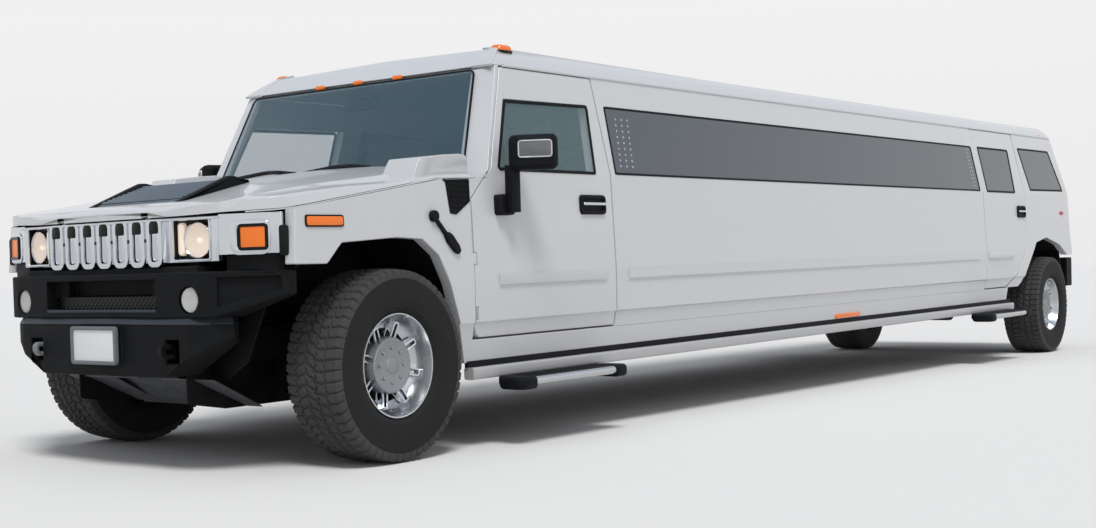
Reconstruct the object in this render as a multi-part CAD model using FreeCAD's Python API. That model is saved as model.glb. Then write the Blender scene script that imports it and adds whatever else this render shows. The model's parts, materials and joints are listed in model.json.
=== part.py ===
"""Stretch limousine on a boxy off-roader base, as an assembly of separate pieces.

Millimetres.  While it is being built, X is the vehicle's left, Y runs rearward from the front
axle and Z is up from the ground.  The body stands level in that frame and is then tipped, rear
up, about the front axle.  At the end everything moves so that Y = 0 is the middle of the length.
Stations behind the stretch are measured from the rear axle, so the wheelbase can change.
"""
import FreeCAD, Part
import math
import os

V = FreeCAD.Vector
AXIS_X = V(1, 0, 0)
AXIS_Y = V(0, 1, 0)

# ---- driving dimensions -------------------------------------------------------------------
WHEELBASE = 8980.0
TRACK = 1763.0
TYRE_R = 434.5
TYRE_W = 315.0
RIM_R = 236.0                        # outside of a rim's barrel
BARREL_R = RIM_R - 22.0              # and its inside
RIM_W = 250.0
RAKE_DEG = 0.685                     # the body stands this much higher at the rear
FRONT_END = -865.0                   # face of the front plate's pad
REAR_END = WHEELBASE + 965.0         # rearmost point of the rear bumper

GAP = 8.0                            # shut line round doors, bonnet and tailgate
SEAT = 0.3                           # clearance of a piece that rests on another one
WALL = 60.0                          # doors and body sides, outer skin to inner trim
GLASS_T = 6.0
SHUT_TAPER = 0.10                    # a door's rear shut face runs forward by this share of its depth

# ---- heights and stations of the body side --------------------------------------------------
SILL_Z = 405.0
DOOR_Z = 515.0                       # bottom shut line
BELT_Z = 1325.0
SEAM_Z = 1858.0                      # where roof and sides meet
SKIN = [                             # half width of the outer skin at each height: (z, x)
    (SILL_Z, 975.0), (592.0, 1008.0), (601.0, 1018.0), (830.0, 1020.0), (BELT_Z, 1000.0), (SEAM_Z, 888.0)]
SIDE_X0, SIDE_X1 = 600.0, 1200.0     # tools for side cuts run from here to here
BODY_W = 1000.0                      # half width that clears any piece of the body's middle

FENDER_Y0 = -631.0
DOOR1_Y0, DOOR1_Y1 = 560.0, 1780.0   # front door's shut lines below the belt
DOOR2_Y0, DOOR2_Y1 = WHEELBASE - 1620.0, WHEELBASE - 615.0
TAILGATE_X = 800.0                   # half width of the tailgate
TAILGATE_Z0, TAILGATE_Z1 = 790.0, 1890.0
MOULD_Z0, MOULD_Z1, MOULD_T = 771.0, 821.0, 10.0

# ---- hinges: pins on the moving piece turn in eyes on the body ---------------------------------
PIN_R, EYE_R = 4.0, 7.0
RUN_FIT = 0.05                       # radial play of pins and of wheels on their stubs
DOOR_HINGE_X = 1013.0                # door pins stand just inside the skin
DOOR_HINGE_BACK = 7.0                # and this far behind the door's front edge
DOOR_HINGE_Z = (640.0, 900.0)
BONNET_HINGE_X, BONNET_HINGE_Y, BONNET_HINGE_Z = 300.0, -814.0, 1128.0
BONNET_PIN_R, BONNET_EYE_R = 3.0, 6.0
TAIL_HINGE_X, TAIL_HINGE_Y, TAIL_HINGE_Z = 400.0, WHEELBASE + 440.0, 1884.0
LUG_W = 30.0                         # width of an eye
LUG_ROOM = 6.0                       # clearance beside and round an eye

# ---- running gear and frame ---------------------------------------------------------------------
HUB_Z = TYRE_R
HUB_X = TRACK / 2
RAIL_X, RAIL_W = 400.0, 80.0
RAIL_Z0 = HUB_Z + 35.5
RAIL_Z1 = RAIL_Z0 + 150.0
RAIL_OUT = RAIL_X + RAIL_W / 2
FLOOR_Z, FLOOR_T = RAIL_Z1, 20.0
KING_X = HUB_X - 80.0                # kingpins stand this far inboard of the wheel's middle
STEER_ARM = 100.0
STUB_R, STUB_END = 30.0, HUB_X + 23.5
AXLE_R = 45.0
LOW_ARM_Z, HIGH_ARM_Z = HUB_Z - 148.0, HUB_Z + 132.0
ARM_T = 20.0
SPOKES = 8

# ---- front end -------------------------------------------------------------------------------------
GRILLE_Z0, GRILLE_Z1, GRILLE_T = 905.0, 1112.0, 40.0
GRILLE_PLAN = [(0.0, -798.0), (420.0, -791.0), (690.0, -752.0)]      # (x, y) of the plate's face
SLOTS, SLOT_PITCH, SLOT_W = 7, 116.5, 62.0
FRAME_W, FRAME_PROUD = 100.0, 18.0                                   # chrome frame round each slot
CORNER_Z0 = 948.0                                                    # underside of the corner boxes
RECESS_X = 545.0
LAMP_X, LAMP_Z, LAMP_R = 575.0, 1020.0, 68.0                         # in the recess's outer half
FOG_X, FOG_Z, FOG_R = 586.0, 762.0, 52.0
TOW_X, TOW_Y, TOW_Z, TOW_R, TOW_T = 482.5, -827.5, 541.0, 18.0, 25.0
WING = [(712.0, -812.0), (955.0, -603.0)]                            # (x, y) ends of the bumper's wing

# ---- outlines on the body side: (y, z) ------------------------------------------------------------
WIN1 = [(784.0, 1341.0), (941.0, 1684.0), (1680.0, 1699.0), (1634.0, 1323.0), (800.0, 1323.0)]
LONG_WIN = [(1820.0, 1328.0), (1838.0, 1703.0), (DOOR2_Y0 - 60, 1703.0), (DOOR2_Y0 - 60, 1328.0)]
WIN2 = [(DOOR2_Y0 + 90, 1323.0), (DOOR2_Y0 + 90, 1706.0), (DOOR2_Y1 - 185, 1706.0), (DOOR2_Y1 - 235, 1323.0)]
WIN3 = [(WHEELBASE - 434, 1354.0), (WHEELBASE - 529, 1731.0),
        (WHEELBASE + 300, 1732.0), (WHEELBASE + 472, 1361.0)]
PILLAR = [(DOOR1_Y0, 1180.0), (735.0, 1341.0), (965.0, SEAM_Z)]     # front door's slanting shut line
ARCH1 = [(-436.0, 897.0), (-340.0, 985.0), (15.0, 1004.0), (190.0, 995.0), (300.0, 920.0),
         (376.0, 782.0), (487.0, 469.0), (510.0, SILL_Z)]
ARCH2 = [(WHEELBASE - 1050, SILL_Z - 20), (WHEELBASE - 730, 550.0), (WHEELBASE - 360, 892.0),
         (WHEELBASE - 83, 935.0), (WHEELBASE + 284, 867.0), (WHEELBASE + 490, 770.0),
         (WHEELBASE + 720, 770.0), (WHEELBASE + 720, SILL_Z - 20)]
DOOR2_DIAGONAL = [(WHEELBASE - 1110, DOOR_Z + GAP), (WHEELBASE - 850, 640.0), (DOOR2_Y1, 860.0)]
FENDER_TOP = [(-612.0, 1128.0), (342.0, 1272.0), (620.0, 1282.0)]
TAIL_LINE = [(WHEELBASE + 447, TAILGATE_Z1), (WHEELBASE + 599, 1341.0), (WHEELBASE + 602, 1007.0),
             (WHEELBASE + 648, TAILGATE_Z0 - 20)]


# ---- small tools ------------------------------------------------------------------------------
def wire_face(points):
    """Flat face through the given corner points."""
    return Part.Face(Part.makePolygon(points + [points[0]]))


def side_prism(outline, x0, x1):
    """Prism of a (y, z) outline between two x positions."""
    return wire_face([V(x0, y, z) for y, z in outline]).extrude(V(x1 - x0, 0, 0))


def plan_prism(outline, z0, z1):
    """Prism of an (x, y) outline between two heights."""
    return wire_face([V(x, y, z0) for x, y in outline]).extrude(V(0, 0, z1 - z0))


def cross_prism(outline, y0, y1):
    """Prism of an (x, z) outline between two stations."""
    return wire_face([V(x, y0, z) for x, z in outline]).extrude(V(0, y1 - y0, 0))


def both_halves(half):
    """Outline of a whole section or plan from the points of its left half."""
    return half + [(-x, other) for x, other in reversed(half) if x]


def box(x0, x1, y0, y1, z0, z1):
    """Box between its low and high corners."""
    return Part.makeBox(x1 - x0, y1 - y0, z1 - z0, V(x0, y0, z0))


def rod(radius, start, end):
    """Round bar from one point to another."""
    return Part.makeCylinder(radius, (end - start).Length, start, end - start)


def ring(profile, centre):
    """Solid of revolution about an axis along X, from (x, r) points round the section."""
    points = [V(centre.x + x, centre.y, centre.z + r) for x, r in profile]
    return wire_face(points).revolve(centre, AXIS_X, 360)


def rounded(shape, radius, axis):
    """Round the straight edges that run along an axis."""
    edges = [edge for edge in shape.Edges
             if isinstance(edge.Curve, Part.Line)
             and abs(edge.tangentAt(edge.FirstParameter).dot(axis)) > 0.999]
    return shape.makeFillet(radius, edges)


def mirrored(shape):
    """The same piece on the vehicle's other side."""
    return shape.mirror(V(0, 0, 0), AXIS_X)


def both(*shapes):
    """Pieces of the left side and their mirror images."""
    return list(shapes) + [mirrored(shape) for shape in shapes]


def fused(*shapes):
    """One solid from pieces that touch or overlap."""
    return shapes[0].multiFuse(list(shapes[1:])).removeSplitter()


def raked(shape):
    """Tip a piece of the body with the rest of the body."""
    turned = shape.copy()
    turned.rotate(V(0, 0, HUB_Z), AXIS_X, RAKE_DEG)
    return turned


def unraked(y, z):
    """Where a point of the ground frame lies in the level body frame: (y, z)."""
    point = FreeCAD.Rotation(AXIS_X, -RAKE_DEG).multVec(V(0, y, z - HUB_Z))
    return point.y, point.z + HUB_Z


def skin_x(z):
    """Half width of the outer skin at a height."""
    for (za, xa), (zb, xb) in zip(SKIN, SKIN[1:]):
        if z <= zb:
            return xa + (xb - xa) * (z - za) / (zb - za)
    return SKIN[-1][1]


def wall(z0, z1, y0, y1, depth=WALL, proud=0.0):
    """Left body side between two heights and stations, following the skin."""
    heights = [z0] + [z for z, _ in SKIN if z0 < z < z1] + [z1]
    outer = [(skin_x(z) + proud, z) for z in heights]
    inner = [(skin_x(z) - depth, z) for z in reversed(heights)]
    return cross_prism(outer + inner, y0, y1)


def side_cut(outline):
    """Prism through the left body side."""
    return side_prism(outline, SIDE_X0, SIDE_X1)


def behind(y):
    """Everything behind a door's rear shut face that meets the hinge plane at y (left side)."""
    inner, outer = SIDE_X0 - 100, SIDE_X1
    return plan_prism([(outer, y + SHUT_TAPER * (outer - DOOR_HINGE_X)),
                       (outer, y + WHEELBASE), (inner, y + WHEELBASE),
                       (inner, y - SHUT_TAPER * (DOOR_HINGE_X - inner))], 0, SEAM_Z * 1.2)


def door_eyes(y0):
    """Hinge eyes that reach from the pillar in front of a left door into the door's edge."""
    y = y0 + DOOR_HINGE_BACK
    eyes = []
    for z in DOOR_HINGE_Z:
        eye = box(DOOR_HINGE_X - EYE_R, DOOR_HINGE_X + EYE_R - 2, y0 - GAP - 5, y + EYE_R - 1, z - 25, z + 25)
        eyes.append(eye.cut(Part.makeCylinder(PIN_R + RUN_FIT, 60.0, V(DOOR_HINGE_X, y, z - 30))))
    return eyes


def with_door_pins(leaf, y0):
    """A left door's leaf with the notches that the eyes reach into, and its pins."""
    y = y0 + DOOR_HINGE_BACK
    for z in DOOR_HINGE_Z:
        leaf = leaf.cut(box(DOOR_HINGE_X - EYE_R - 11, SIDE_X1, y0 - 5, y + EYE_R + LUG_ROOM, z - 31, z + 31))
        leaf = leaf.fuse(Part.makeCylinder(PIN_R, 70.0, V(DOOR_HINGE_X, y, z - 35)))
    return leaf


def lug(x, y, z, toward_deg, reach, pin_r, eye_r):
    """Eye round a pin along X, on an arm that runs off at an angle from +Y in the side view."""
    arm = box(x - LUG_W / 2, x + LUG_W / 2, 0, reach, -eye_r, eye_r)
    arm = arm.fuse(Part.makeCylinder(eye_r, LUG_W, V(x - LUG_W / 2, 0, 0), AXIS_X)).removeSplitter()
    arm = arm.cut(Part.makeCylinder(pin_r + RUN_FIT, LUG_W + 2, V(x - LUG_W / 2 - 1, 0, 0), AXIS_X))
    arm.rotate(V(0, 0, 0), AXIS_X, toward_deg)
    arm.translate(V(0, y, z))
    return arm


def with_pin(leaf, x, y, z, pin_r, notch_y, notch_z):
    """A lid with a notch round a lug, and the pin across it."""
    half = LUG_W / 2 + LUG_ROOM
    leaf = leaf.cut(box(x - half, x + half, notch_y[0], notch_y[1], notch_z[0], notch_z[1]))
    return leaf.fuse(Part.makeCylinder(pin_r, 2 * half + 8, V(x - half - 4, y, z), AXIS_X))


def moulding(y0, y1):
    """Raised rubbing strip on the left side, rooted in the wall."""
    return wall(MOULD_Z0, MOULD_Z1, y0, y1, depth=WALL / 2, proud=MOULD_T)


NODES = {}


def node(name, *solids, level=False):
    """Keep the solids of a node; body pieces are raked unless they stand level."""
    shapes = [solid if level else raked(solid) for solid in solids]
    NODES[name] = shapes[0] if len(shapes) == 1 else Part.makeCompound(shapes)


# ---- body shell ----------------------------------------------------------------------------------
def body_sides():
    """Sills, stretch panels and quarter panels, with the glass that is bonded into them."""
    sill_y0, sill_y1, sill_depth = DOOR1_Y0 - GAP, ARCH2[0][0], 110.0
    sill = wall(SILL_Z, DOOR_Z, sill_y0, sill_y1, depth=sill_depth)
    riser_x = skin_x(SILL_Z) - sill_depth
    riser = box(riser_x, riser_x + WALL, sill_y0, sill_y1, DOOR_Z - 50, FLOOR_Z - SEAT)
    node("sills", *both(fused(sill, riser)))

    panel = wall(DOOR_Z, SEAM_Z, DOOR1_Y1 - WALL, DOOR2_Y0 - GAP).common(behind(DOOR1_Y1))
    panel = panel.multiFuse([moulding(DOOR1_Y1 + 113, DOOR2_Y0 - 175)] + door_eyes(DOOR2_Y0))
    node("stretch_panels", *both(panel.cut(side_cut(LONG_WIN)).removeSplitter()))

    front = DOOR1_Y1
    door_side = [(front, DOOR_Z), (DOOR2_DIAGONAL[0][0] + 14, DOOR_Z),
                 (DOOR2_DIAGONAL[1][0] + 12, DOOR2_DIAGONAL[1][1] - 4),
                 (DOOR2_Y1 + GAP, DOOR2_DIAGONAL[2][1] - 4), (DOOR2_Y1 + GAP, SEAM_Z + 50), (front, SEAM_Z + 50)]
    past = REAR_END + 50
    tail_cut = [(past, SEAM_Z + 50)] + TAIL_LINE + [(past, TAIL_LINE[-1][1])]
    quarter = wall(DOOR_Z, SEAM_Z, DOOR2_DIAGONAL[0][0], TAIL_LINE[-1][0] + 50)
    rear_face = TAIL_LINE + [(y - WALL, z) for y, z in reversed(TAIL_LINE)]
    corner = wall(TAILGATE_Z0, SEAM_Z, WIN3[2][0], TAIL_LINE[-1][0] + 50, depth=400.0)
    corner = corner.common(side_prism(rear_face, TAILGATE_X + GAP, SIDE_X1))
    quarter = quarter.cut(side_cut(door_side)).cut(side_cut(ARCH2)).cut(side_cut(tail_cut))
    node("quarter_panels", *both(quarter.fuse(corner).cut(side_cut(WIN3)).removeSplitter()))

    sheets = [wall(1300.0, 1750.0, outline[1][0] - 10, outline[2][0] + 200, depth=GLASS_T).common(side_cut(outline))
              for outline in (LONG_WIN, WIN3)]
    node("side_glass", *both(*sheets))


ROOF_HALF = [(0.0, 1990.0), (600.0, 1975.0), (800.0, 1955.0), (850.0, 1915.0), (skin_x(SEAM_Z), SEAM_Z)]
ROOF_FRONT, ROOF_REAR = 850.0, WHEELBASE + 457.0


def roof_shell():
    """Roof cap with its sloping nose, tail, front header and rear lip."""
    above = TAILGATE_Z1 + 160.0
    outer = both_halves(ROOF_HALF)
    inner = both_halves([(0.0, 1955.0), (760.0, 1925.0), (800.0, 1900.0), (skin_x(SEAM_Z) - WALL, SEAM_Z)])
    cap = cross_prism(outer, ROOF_FRONT, ROOF_REAR).cut(cross_prism(inner, ROOF_FRONT - 10, ROOF_REAR + 10))
    nose = side_prism([(ROOF_FRONT - 50, 1800.0), (ROOF_FRONT + 25, 1840.0), (1010.0, 1925.0),
                       (1110.0, 1975.0), (1200.0, above), (ROOF_FRONT - 50, above)], -BODY_W, BODY_W)
    header = side_prism([(898.0, SEAM_Z), (938.0, SEAM_Z), (1010.0, 1900.0), (1100.0, 1965.0),
                         (1060.0, 1965.0), (980.0, 1915.0)], -780.0, 780.0)
    lip_z = TAILGATE_Z1 + 10
    lip = cross_prism(outer, ROOF_REAR - 107, ROOF_REAR).common(
        box(-BODY_W, BODY_W, ROOF_REAR - 107, ROOF_REAR, lip_z, above))
    lugs = [lug(x, TAIL_HINGE_Y, TAIL_HINGE_Z, 130.0, 45.0, PIN_R, EYE_R)
            for x in (-TAIL_HINGE_X, TAIL_HINGE_X)]
    tail = side_prism([(ROOF_REAR + 20, 1800.0), (ROOF_REAR - 5, SEAM_Z), (ROOF_REAR - 29, 1935.0),
                       (ROOF_REAR - 137, above), (ROOF_REAR + 20, above)], -BODY_W, BODY_W)
    return fused(fused(cap.cut(nose), lip).cut(tail), header, *lugs)


def windscreen():
    """A-pillars, header and cowl round the windscreen, and the glass."""
    low_y, low_z, top_y, top_z = 690.0, 1390.0, 881.0, 1829.0
    slope = (top_y - low_y) / (top_z - low_z)
    frame_low = 1290.0

    def y_at(z):
        return low_y + slope * (z - low_z)

    slab = side_prism([(y_at(frame_low), frame_low), (y_at(SEAM_Z), SEAM_Z),
                       (y_at(SEAM_Z) + 45, SEAM_Z), (y_at(frame_low) + 20, frame_low)], -BODY_W, BODY_W)
    frame_half = [(skin_x(SEAM_Z), SEAM_Z), (skin_x(frame_low), frame_low)]
    slab = slab.common(cross_prism(both_halves(frame_half), low_y - 200, top_y + 200))
    opening = cross_prism(both_halves([(775.0, top_z), (845.0, low_z - 20)]), low_y - 200, top_y + 200)
    pane_low, pane_top = low_z - 40, top_z + 15
    pane = side_prism([(y_at(pane_low) - GLASS_T, pane_low), (y_at(pane_top) - GLASS_T, pane_top),
                       (y_at(pane_top), pane_top), (y_at(pane_low), pane_low)], -BODY_W, BODY_W)
    pane_half = [(795.0, pane_top), (880.0, pane_low)]
    pane = pane.common(cross_prism(both_halves(pane_half), low_y - 200, top_y + 200))
    pillar = wall(frame_low, SEAM_Z, low_y - 100, top_y + 200)
    pillar = pillar.common(side_cut([(y_at(frame_low), frame_low), (y_at(SEAM_Z), SEAM_Z),
                                     (PILLAR[2][0] - GAP, SEAM_Z), (PILLAR[1][0] - GAP, PILLAR[1][1]),
                                     (668.0, frame_low)]))
    cowl = box(-880.0, 880.0, DOOR1_Y0 + 52, low_y, frame_low, frame_low + 60)
    node("windscreen_frame", fused(slab.cut(opening), pillar, mirrored(pillar), cowl))
    node("windscreen", pane)


def fenders():
    """Front wings with their wheel arches, below the bonnet's shut line."""
    outline = [(FENDER_Y0, 899.0)] + FENDER_TOP + [
        (667.0, 1290.0), (DOOR1_Y0 - 5.4, 1186.0), (DOOR1_Y0 - GAP, 1180.0), (DOOR1_Y0 - GAP, SILL_Z)]
    outline += list(reversed(ARCH1))
    skin = wall(SILL_Z, 1300.0, FENDER_Y0 - 10, 700.0).common(side_cut(outline))
    node("fenders", *both(skin.multiFuse(door_eyes(DOOR1_Y0)).removeSplitter()))


def bonnet():
    """Clamshell bonnet with a raised centre, a hump at each rear corner and two vent ridges."""
    stations = [      # y, z at the middle, x and z of the raised centre's edge, shoulder z, cut z
        (-835.0, 1140.0, 690.0, 1136.0, 1123.0, 1116.0),
        (-805.0, 1162.0, 692.0, 1157.0, 1146.0, 1119.0),
        (-760.0, 1174.0, 694.0, 1168.0, 1159.0, 1126.0),
        (-612.0, 1202.0, 700.0, 1196.0, 1182.0, 1128.0 + GAP),
        (-250.0, 1286.0, 740.0, 1252.0, 1228.0, 1183.0 + GAP),
        (100.0, 1330.0, 770.0, 1290.0, 1255.0, 1236.0 + GAP),
        (342.0, 1358.0, 780.0, 1320.0, 1290.0, 1272.0 + GAP),
        (600.0, 1385.0, 790.0, 1350.0, 1304.0, 1282.0 + GAP)]

    def section(y, z_mid, x_edge, z_edge, z_shoulder, z_cut, inset):
        half = [(0.0, z_mid - inset), (350.0, z_mid - 6 - inset), (x_edge - inset, z_edge - inset),
                (x_edge + 40 - inset, z_shoulder + 12 - inset), (925.0 - inset, z_shoulder + 8 - inset),
                (965.0 - inset, z_shoulder - inset), (980.0 - inset, z_cut)]
        points = [V(x, y, z) for x, z in both_halves(half)]
        return Part.makePolygon(points + [points[0]])

    outer = Part.makeLoft([section(*row, 0.0) for row in stations], True, True)
    inner_rows = [row[:5] + (row[5] - 60,) for row in (stations[0], stations[4], stations[-1])]
    inner_rows[0] = (-790.0,) + inner_rows[0][1:]
    inner_rows[-1] = (610.0,) + inner_rows[-1][1:]
    inner = Part.makeLoft([section(*row, 28.0) for row in inner_rows], True, True)
    plan = [(0.0, -824.0), (450.0, -824.0), (690.0, -772.0), (820.0, -725.0), (905.0, -668.0), (957.0, -590.0),
            (985.0, -490.0), (1000.0, 700.0)]
    shell = outer.cut(inner).common(plan_prism(both_halves(plan), 1000, 1600))
    hump = side_prism([(195.0, 1270.0), (228.0, 1335.0), (258.0, 1374.0), (420.0, 1391.0), (540.0, 1399.0),
                       (585.0, 1394.0), (600.0, 1370.0), (600.0, 1290.0)], 760.0, 958.0).cut(inner)
    ridge = side_prism([(-620.0, 1185.0), (-540.0, 1222.0), (-335.0, 1306.0), (-255.0, 1298.0),
                        (-250.0, 1270.0)], 292.0, 322.0).cut(inner)
    shell = fused(shell, hump, mirrored(hump))
    for x in (-BONNET_HINGE_X, BONNET_HINGE_X):
        shell = with_pin(shell, x, BONNET_HINGE_Y, BONNET_HINGE_Z, BONNET_PIN_R,
                         (BONNET_HINGE_Y - 11, BONNET_HINGE_Y + 34), (BONNET_HINGE_Z - 28, BONNET_HINGE_Z + 12))
    node("bonnet", shell.removeSplitter())
    louvre = side_prism([(-615.0, 1200.0), (-335.0, 1292.0), (-262.0, 1290.0), (-262.0, 1270.0),
                         (-610.0, 1190.0)], -292.0, 292.0)
    vent = fused(louvre, ridge, mirrored(ridge)).cut(outer)
    node("bonnet_vent", vent)


def tailgate():
    """One-piece tailgate hinged at the roof, with its window."""
    outer = TAIL_LINE[:3] + [(TAIL_LINE[3][0] - 6, TAILGATE_Z0)]
    leaf = side_prism(outer + [(y - WALL, z) for y, z in reversed(outer)], -TAILGATE_X, TAILGATE_X)
    front = TAIL_LINE[0][0] - 250
    window = cross_prism(both_halves([(600.0, 1780.0), (640.0, 1365.0)]), front, REAR_END)
    glazing = outer[:2] + [(y - GLASS_T, z) for y, z in reversed(outer[:2])]
    leaf = leaf.cut(window)
    for x in (-TAIL_HINGE_X, TAIL_HINGE_X):
        leaf = with_pin(leaf, x, TAIL_HINGE_Y, TAIL_HINGE_Z, PIN_R,
                        (TAIL_HINGE_Y - EYE_R - 13, TAIL_HINGE_Y + 30),
                        (TAIL_HINGE_Z - EYE_R - LUG_ROOM, SEAM_Z + 50))
    node("tailgate", leaf.removeSplitter())
    node("tailgate_glass", side_prism(glazing, -TAILGATE_X, TAILGATE_X).common(window))


def door(name, outline, window, y0, y1, strip):
    """One side door, hinged at its front edge, and its glass; left and right."""
    leaf = wall(DOOR_Z + GAP, SEAM_Z - GAP, y0, y1 + 50)
    leaf = leaf.fuse(moulding(*strip)).common(side_cut(outline)).cut(behind(y1 - GAP))
    pane = wall(1300.0, 1750.0, y0, y1, depth=GLASS_T).common(side_cut(window))
    leaf = with_door_pins(leaf, y0).cut(side_cut(window)).removeSplitter()
    for side, turn in (("left", lambda piece: piece), ("right", mirrored)):
        node(name + "_" + side, turn(leaf))
        node(name + "_glass_" + side, turn(pane))


def doors():
    """Front and rear doors and the front doors' mirrors."""
    toe = 60.0
    front = [(DOOR1_Y0 + toe, DOOR_Z), (DOOR1_Y0 + 18, DOOR_Z + 26), (DOOR1_Y0, DOOR_Z + toe),
             (DOOR1_Y0, PILLAR[0][1]), PILLAR[1], PILLAR[2], (DOOR1_Y1 + 50, SEAM_Z), (DOOR1_Y1 + 50, DOOR_Z)]
    door("door_front", front, WIN1, DOOR1_Y0, DOOR1_Y1, (744.0, 1678.0))
    rear = [(DOOR2_Y0, DOOR_Z)] + DOOR2_DIAGONAL + [(DOOR2_Y1 + 50, 900.0), (DOOR2_Y1 + 50, SEAM_Z),
                                                    (DOOR2_Y0, SEAM_Z)]
    door("door_rear", rear, WIN2, DOOR2_Y0, DOOR2_Y1 + GAP, (DOOR2_Y0 + 40, DOOR2_Y1 - 365))

    base_x = skin_x(1110.0) + SEAT
    foot = box(base_x, base_x + 45, 735.0, 850.0, 1105.0, 1205.0)
    stalk = box(base_x + 20, base_x + 80, 775.0, 835.0, 1120.0, 1345.0)
    head = rounded(box(base_x + 55, 1250.0, 765.0, 912.0, 1322.0, 1484.0), 30.0, AXIS_Y)
    mirror = fused(foot, stalk, head)
    node("mirror_left", mirror)
    node("mirror_right", mirrored(mirror))


# ---- front end -------------------------------------------------------------------------------------



def slot_blank(x, y0, y1, width, z0, z1, radius):
    """Prism along Y, flat on top and with two rounded lower corners."""
    left, right = x - width / 2, x + width / 2
    bulge = radius * (1 - math.sqrt(0.5))
    edges = [Part.makeLine(V(left, y0, z0 + radius), V(left, y0, z1)),
             Part.makeLine(V(left, y0, z1), V(right, y0, z1)),
             Part.makeLine(V(right, y0, z1), V(right, y0, z0 + radius)),
             Part.Arc(V(right, y0, z0 + radius), V(right - bulge, y0, z0 + bulge),
                      V(right - radius, y0, z0)).toShape(),
             Part.makeLine(V(right - radius, y0, z0), V(left + radius, y0, z0)),
             Part.Arc(V(left + radius, y0, z0), V(left + bulge, y0, z0 + bulge),
                      V(left, y0, z0 + radius)).toShape()]
    return Part.Face(Part.Wire(edges)).extrude(V(0, y1 - y0, 0))


def plate_y(x):
    """Face of the grille's plate beside the slots."""
    (x0, y0), (x1, y1) = GRILLE_PLAN[1:]
    return y0 + (y1 - y0) * (x - x0) / (x1 - x0)


def grille():
    """Chrome face: plate with seven framed slots, lamp recesses, corner boxes and bonnet hinges."""
    front = GRILLE_PLAN[::-1]
    left = front + [(x, y + GRILLE_T) for x, y in GRILLE_PLAN]
    half_plate = plan_prism(left, GRILLE_Z0 + 16, GRILLE_Z1)
    face = fused(half_plate, mirrored(half_plate))
    xs = [i * SLOT_PITCH for i in range(-(SLOTS // 2), SLOTS // 2 + 1)]
    face_y = GRILLE_PLAN[0][1]
    face = fused(face, *[slot_blank(x, face_y - FRAME_PROUD, face_y + 15, FRAME_W,
                                    GRILLE_Z0, GRILLE_Z1 - 5, 36.0) for x in xs])
    for x in xs:
        face = face.cut(slot_blank(x, face_y - 50, face_y + 60, SLOT_W, GRILLE_Z0 + 22, GRILLE_Z1 - 26, 22.0))
    x0, x1 = RECESS_X - 100, RECESS_X + 100
    floor = GRILLE_T - 6
    recess = plan_prism([(x0, -900.0), (x1, -900.0), (x1, plate_y(x1) + floor), (x0, plate_y(x0) + floor)],
                        LAMP_Z - 88, LAMP_Z + 80)
    face = face.cut(recess).cut(mirrored(recess))
    corner = plan_prism([(690.0, -748.0), (925.0, -668.0), (960.0, -645.0), (960.0, FENDER_Y0 - SEAT),
                         (690.0, FENDER_Y0 - SEAT)], CORNER_Z0, GRILLE_Z1 + 6)
    corner = corner.cut(box(755.0, 905.0, -800.0, -660.0, 960.0, 1075.0))
    lugs = [lug(x, BONNET_HINGE_Y, BONNET_HINGE_Z, -30.0, 42.0, BONNET_PIN_R, BONNET_EYE_R)
            for x in (-BONNET_HINGE_X, BONNET_HINGE_X)]
    node("grille", fused(face, corner, mirrored(corner), *lugs))
    return recess


def lamps(recess, roof_cap):
    """Head and fog lamps, and the amber lamps on the wings, sills and roof."""
    head = Part.makeCylinder(LAMP_R, 200.0, V(LAMP_X, -784.0, LAMP_Z), AXIS_Y).common(recess)
    inner = box(452.0, 498.0, -784.0, -600.0, LAMP_Z - 74, LAMP_Z + 74).common(recess)
    fog = Part.makeCylinder(FOG_R, 60.0, V(FOG_X, -800.0, FOG_Z), AXIS_Y)
    node("front_lamps", *both(head, inner, fog))
    turn = plan_prism([(760.0, -724.0), (900.0, -676.0), (900.0, -660.0), (760.0, -660.0)], 965.0, 1070.0)
    marker = wall(1058.0, 1098.0, -555.0, -329.0, depth=-SEAT, proud=8.0)
    sill_y = DOOR1_Y1 + 2760
    sill = wall(SILL_Z + 12, SILL_Z + 42, sill_y, sill_y + 390, depth=-SEAT, proud=8.0)
    corner = box(735.0, 825.0, 1080.0, 1160.0, 1930.0, 1978.0).cut(roof_cap)
    node("amber_lamps", *both(turn, marker, sill, corner))


def wing_prism(corners, depth):
    """Prism into a left bumper wing from (distance along the wing, z) corners on its face."""
    (x0, y0), (x1, y1) = WING
    along = V(x1 - x0, y1 - y0, 0).normalize()
    inward = along.cross(V(0, 0, -1))
    face = wire_face([V(x0, y0, z) + along * s - inward for s, z in corners])
    return face.extrude(inward * (depth + 1))


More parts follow.
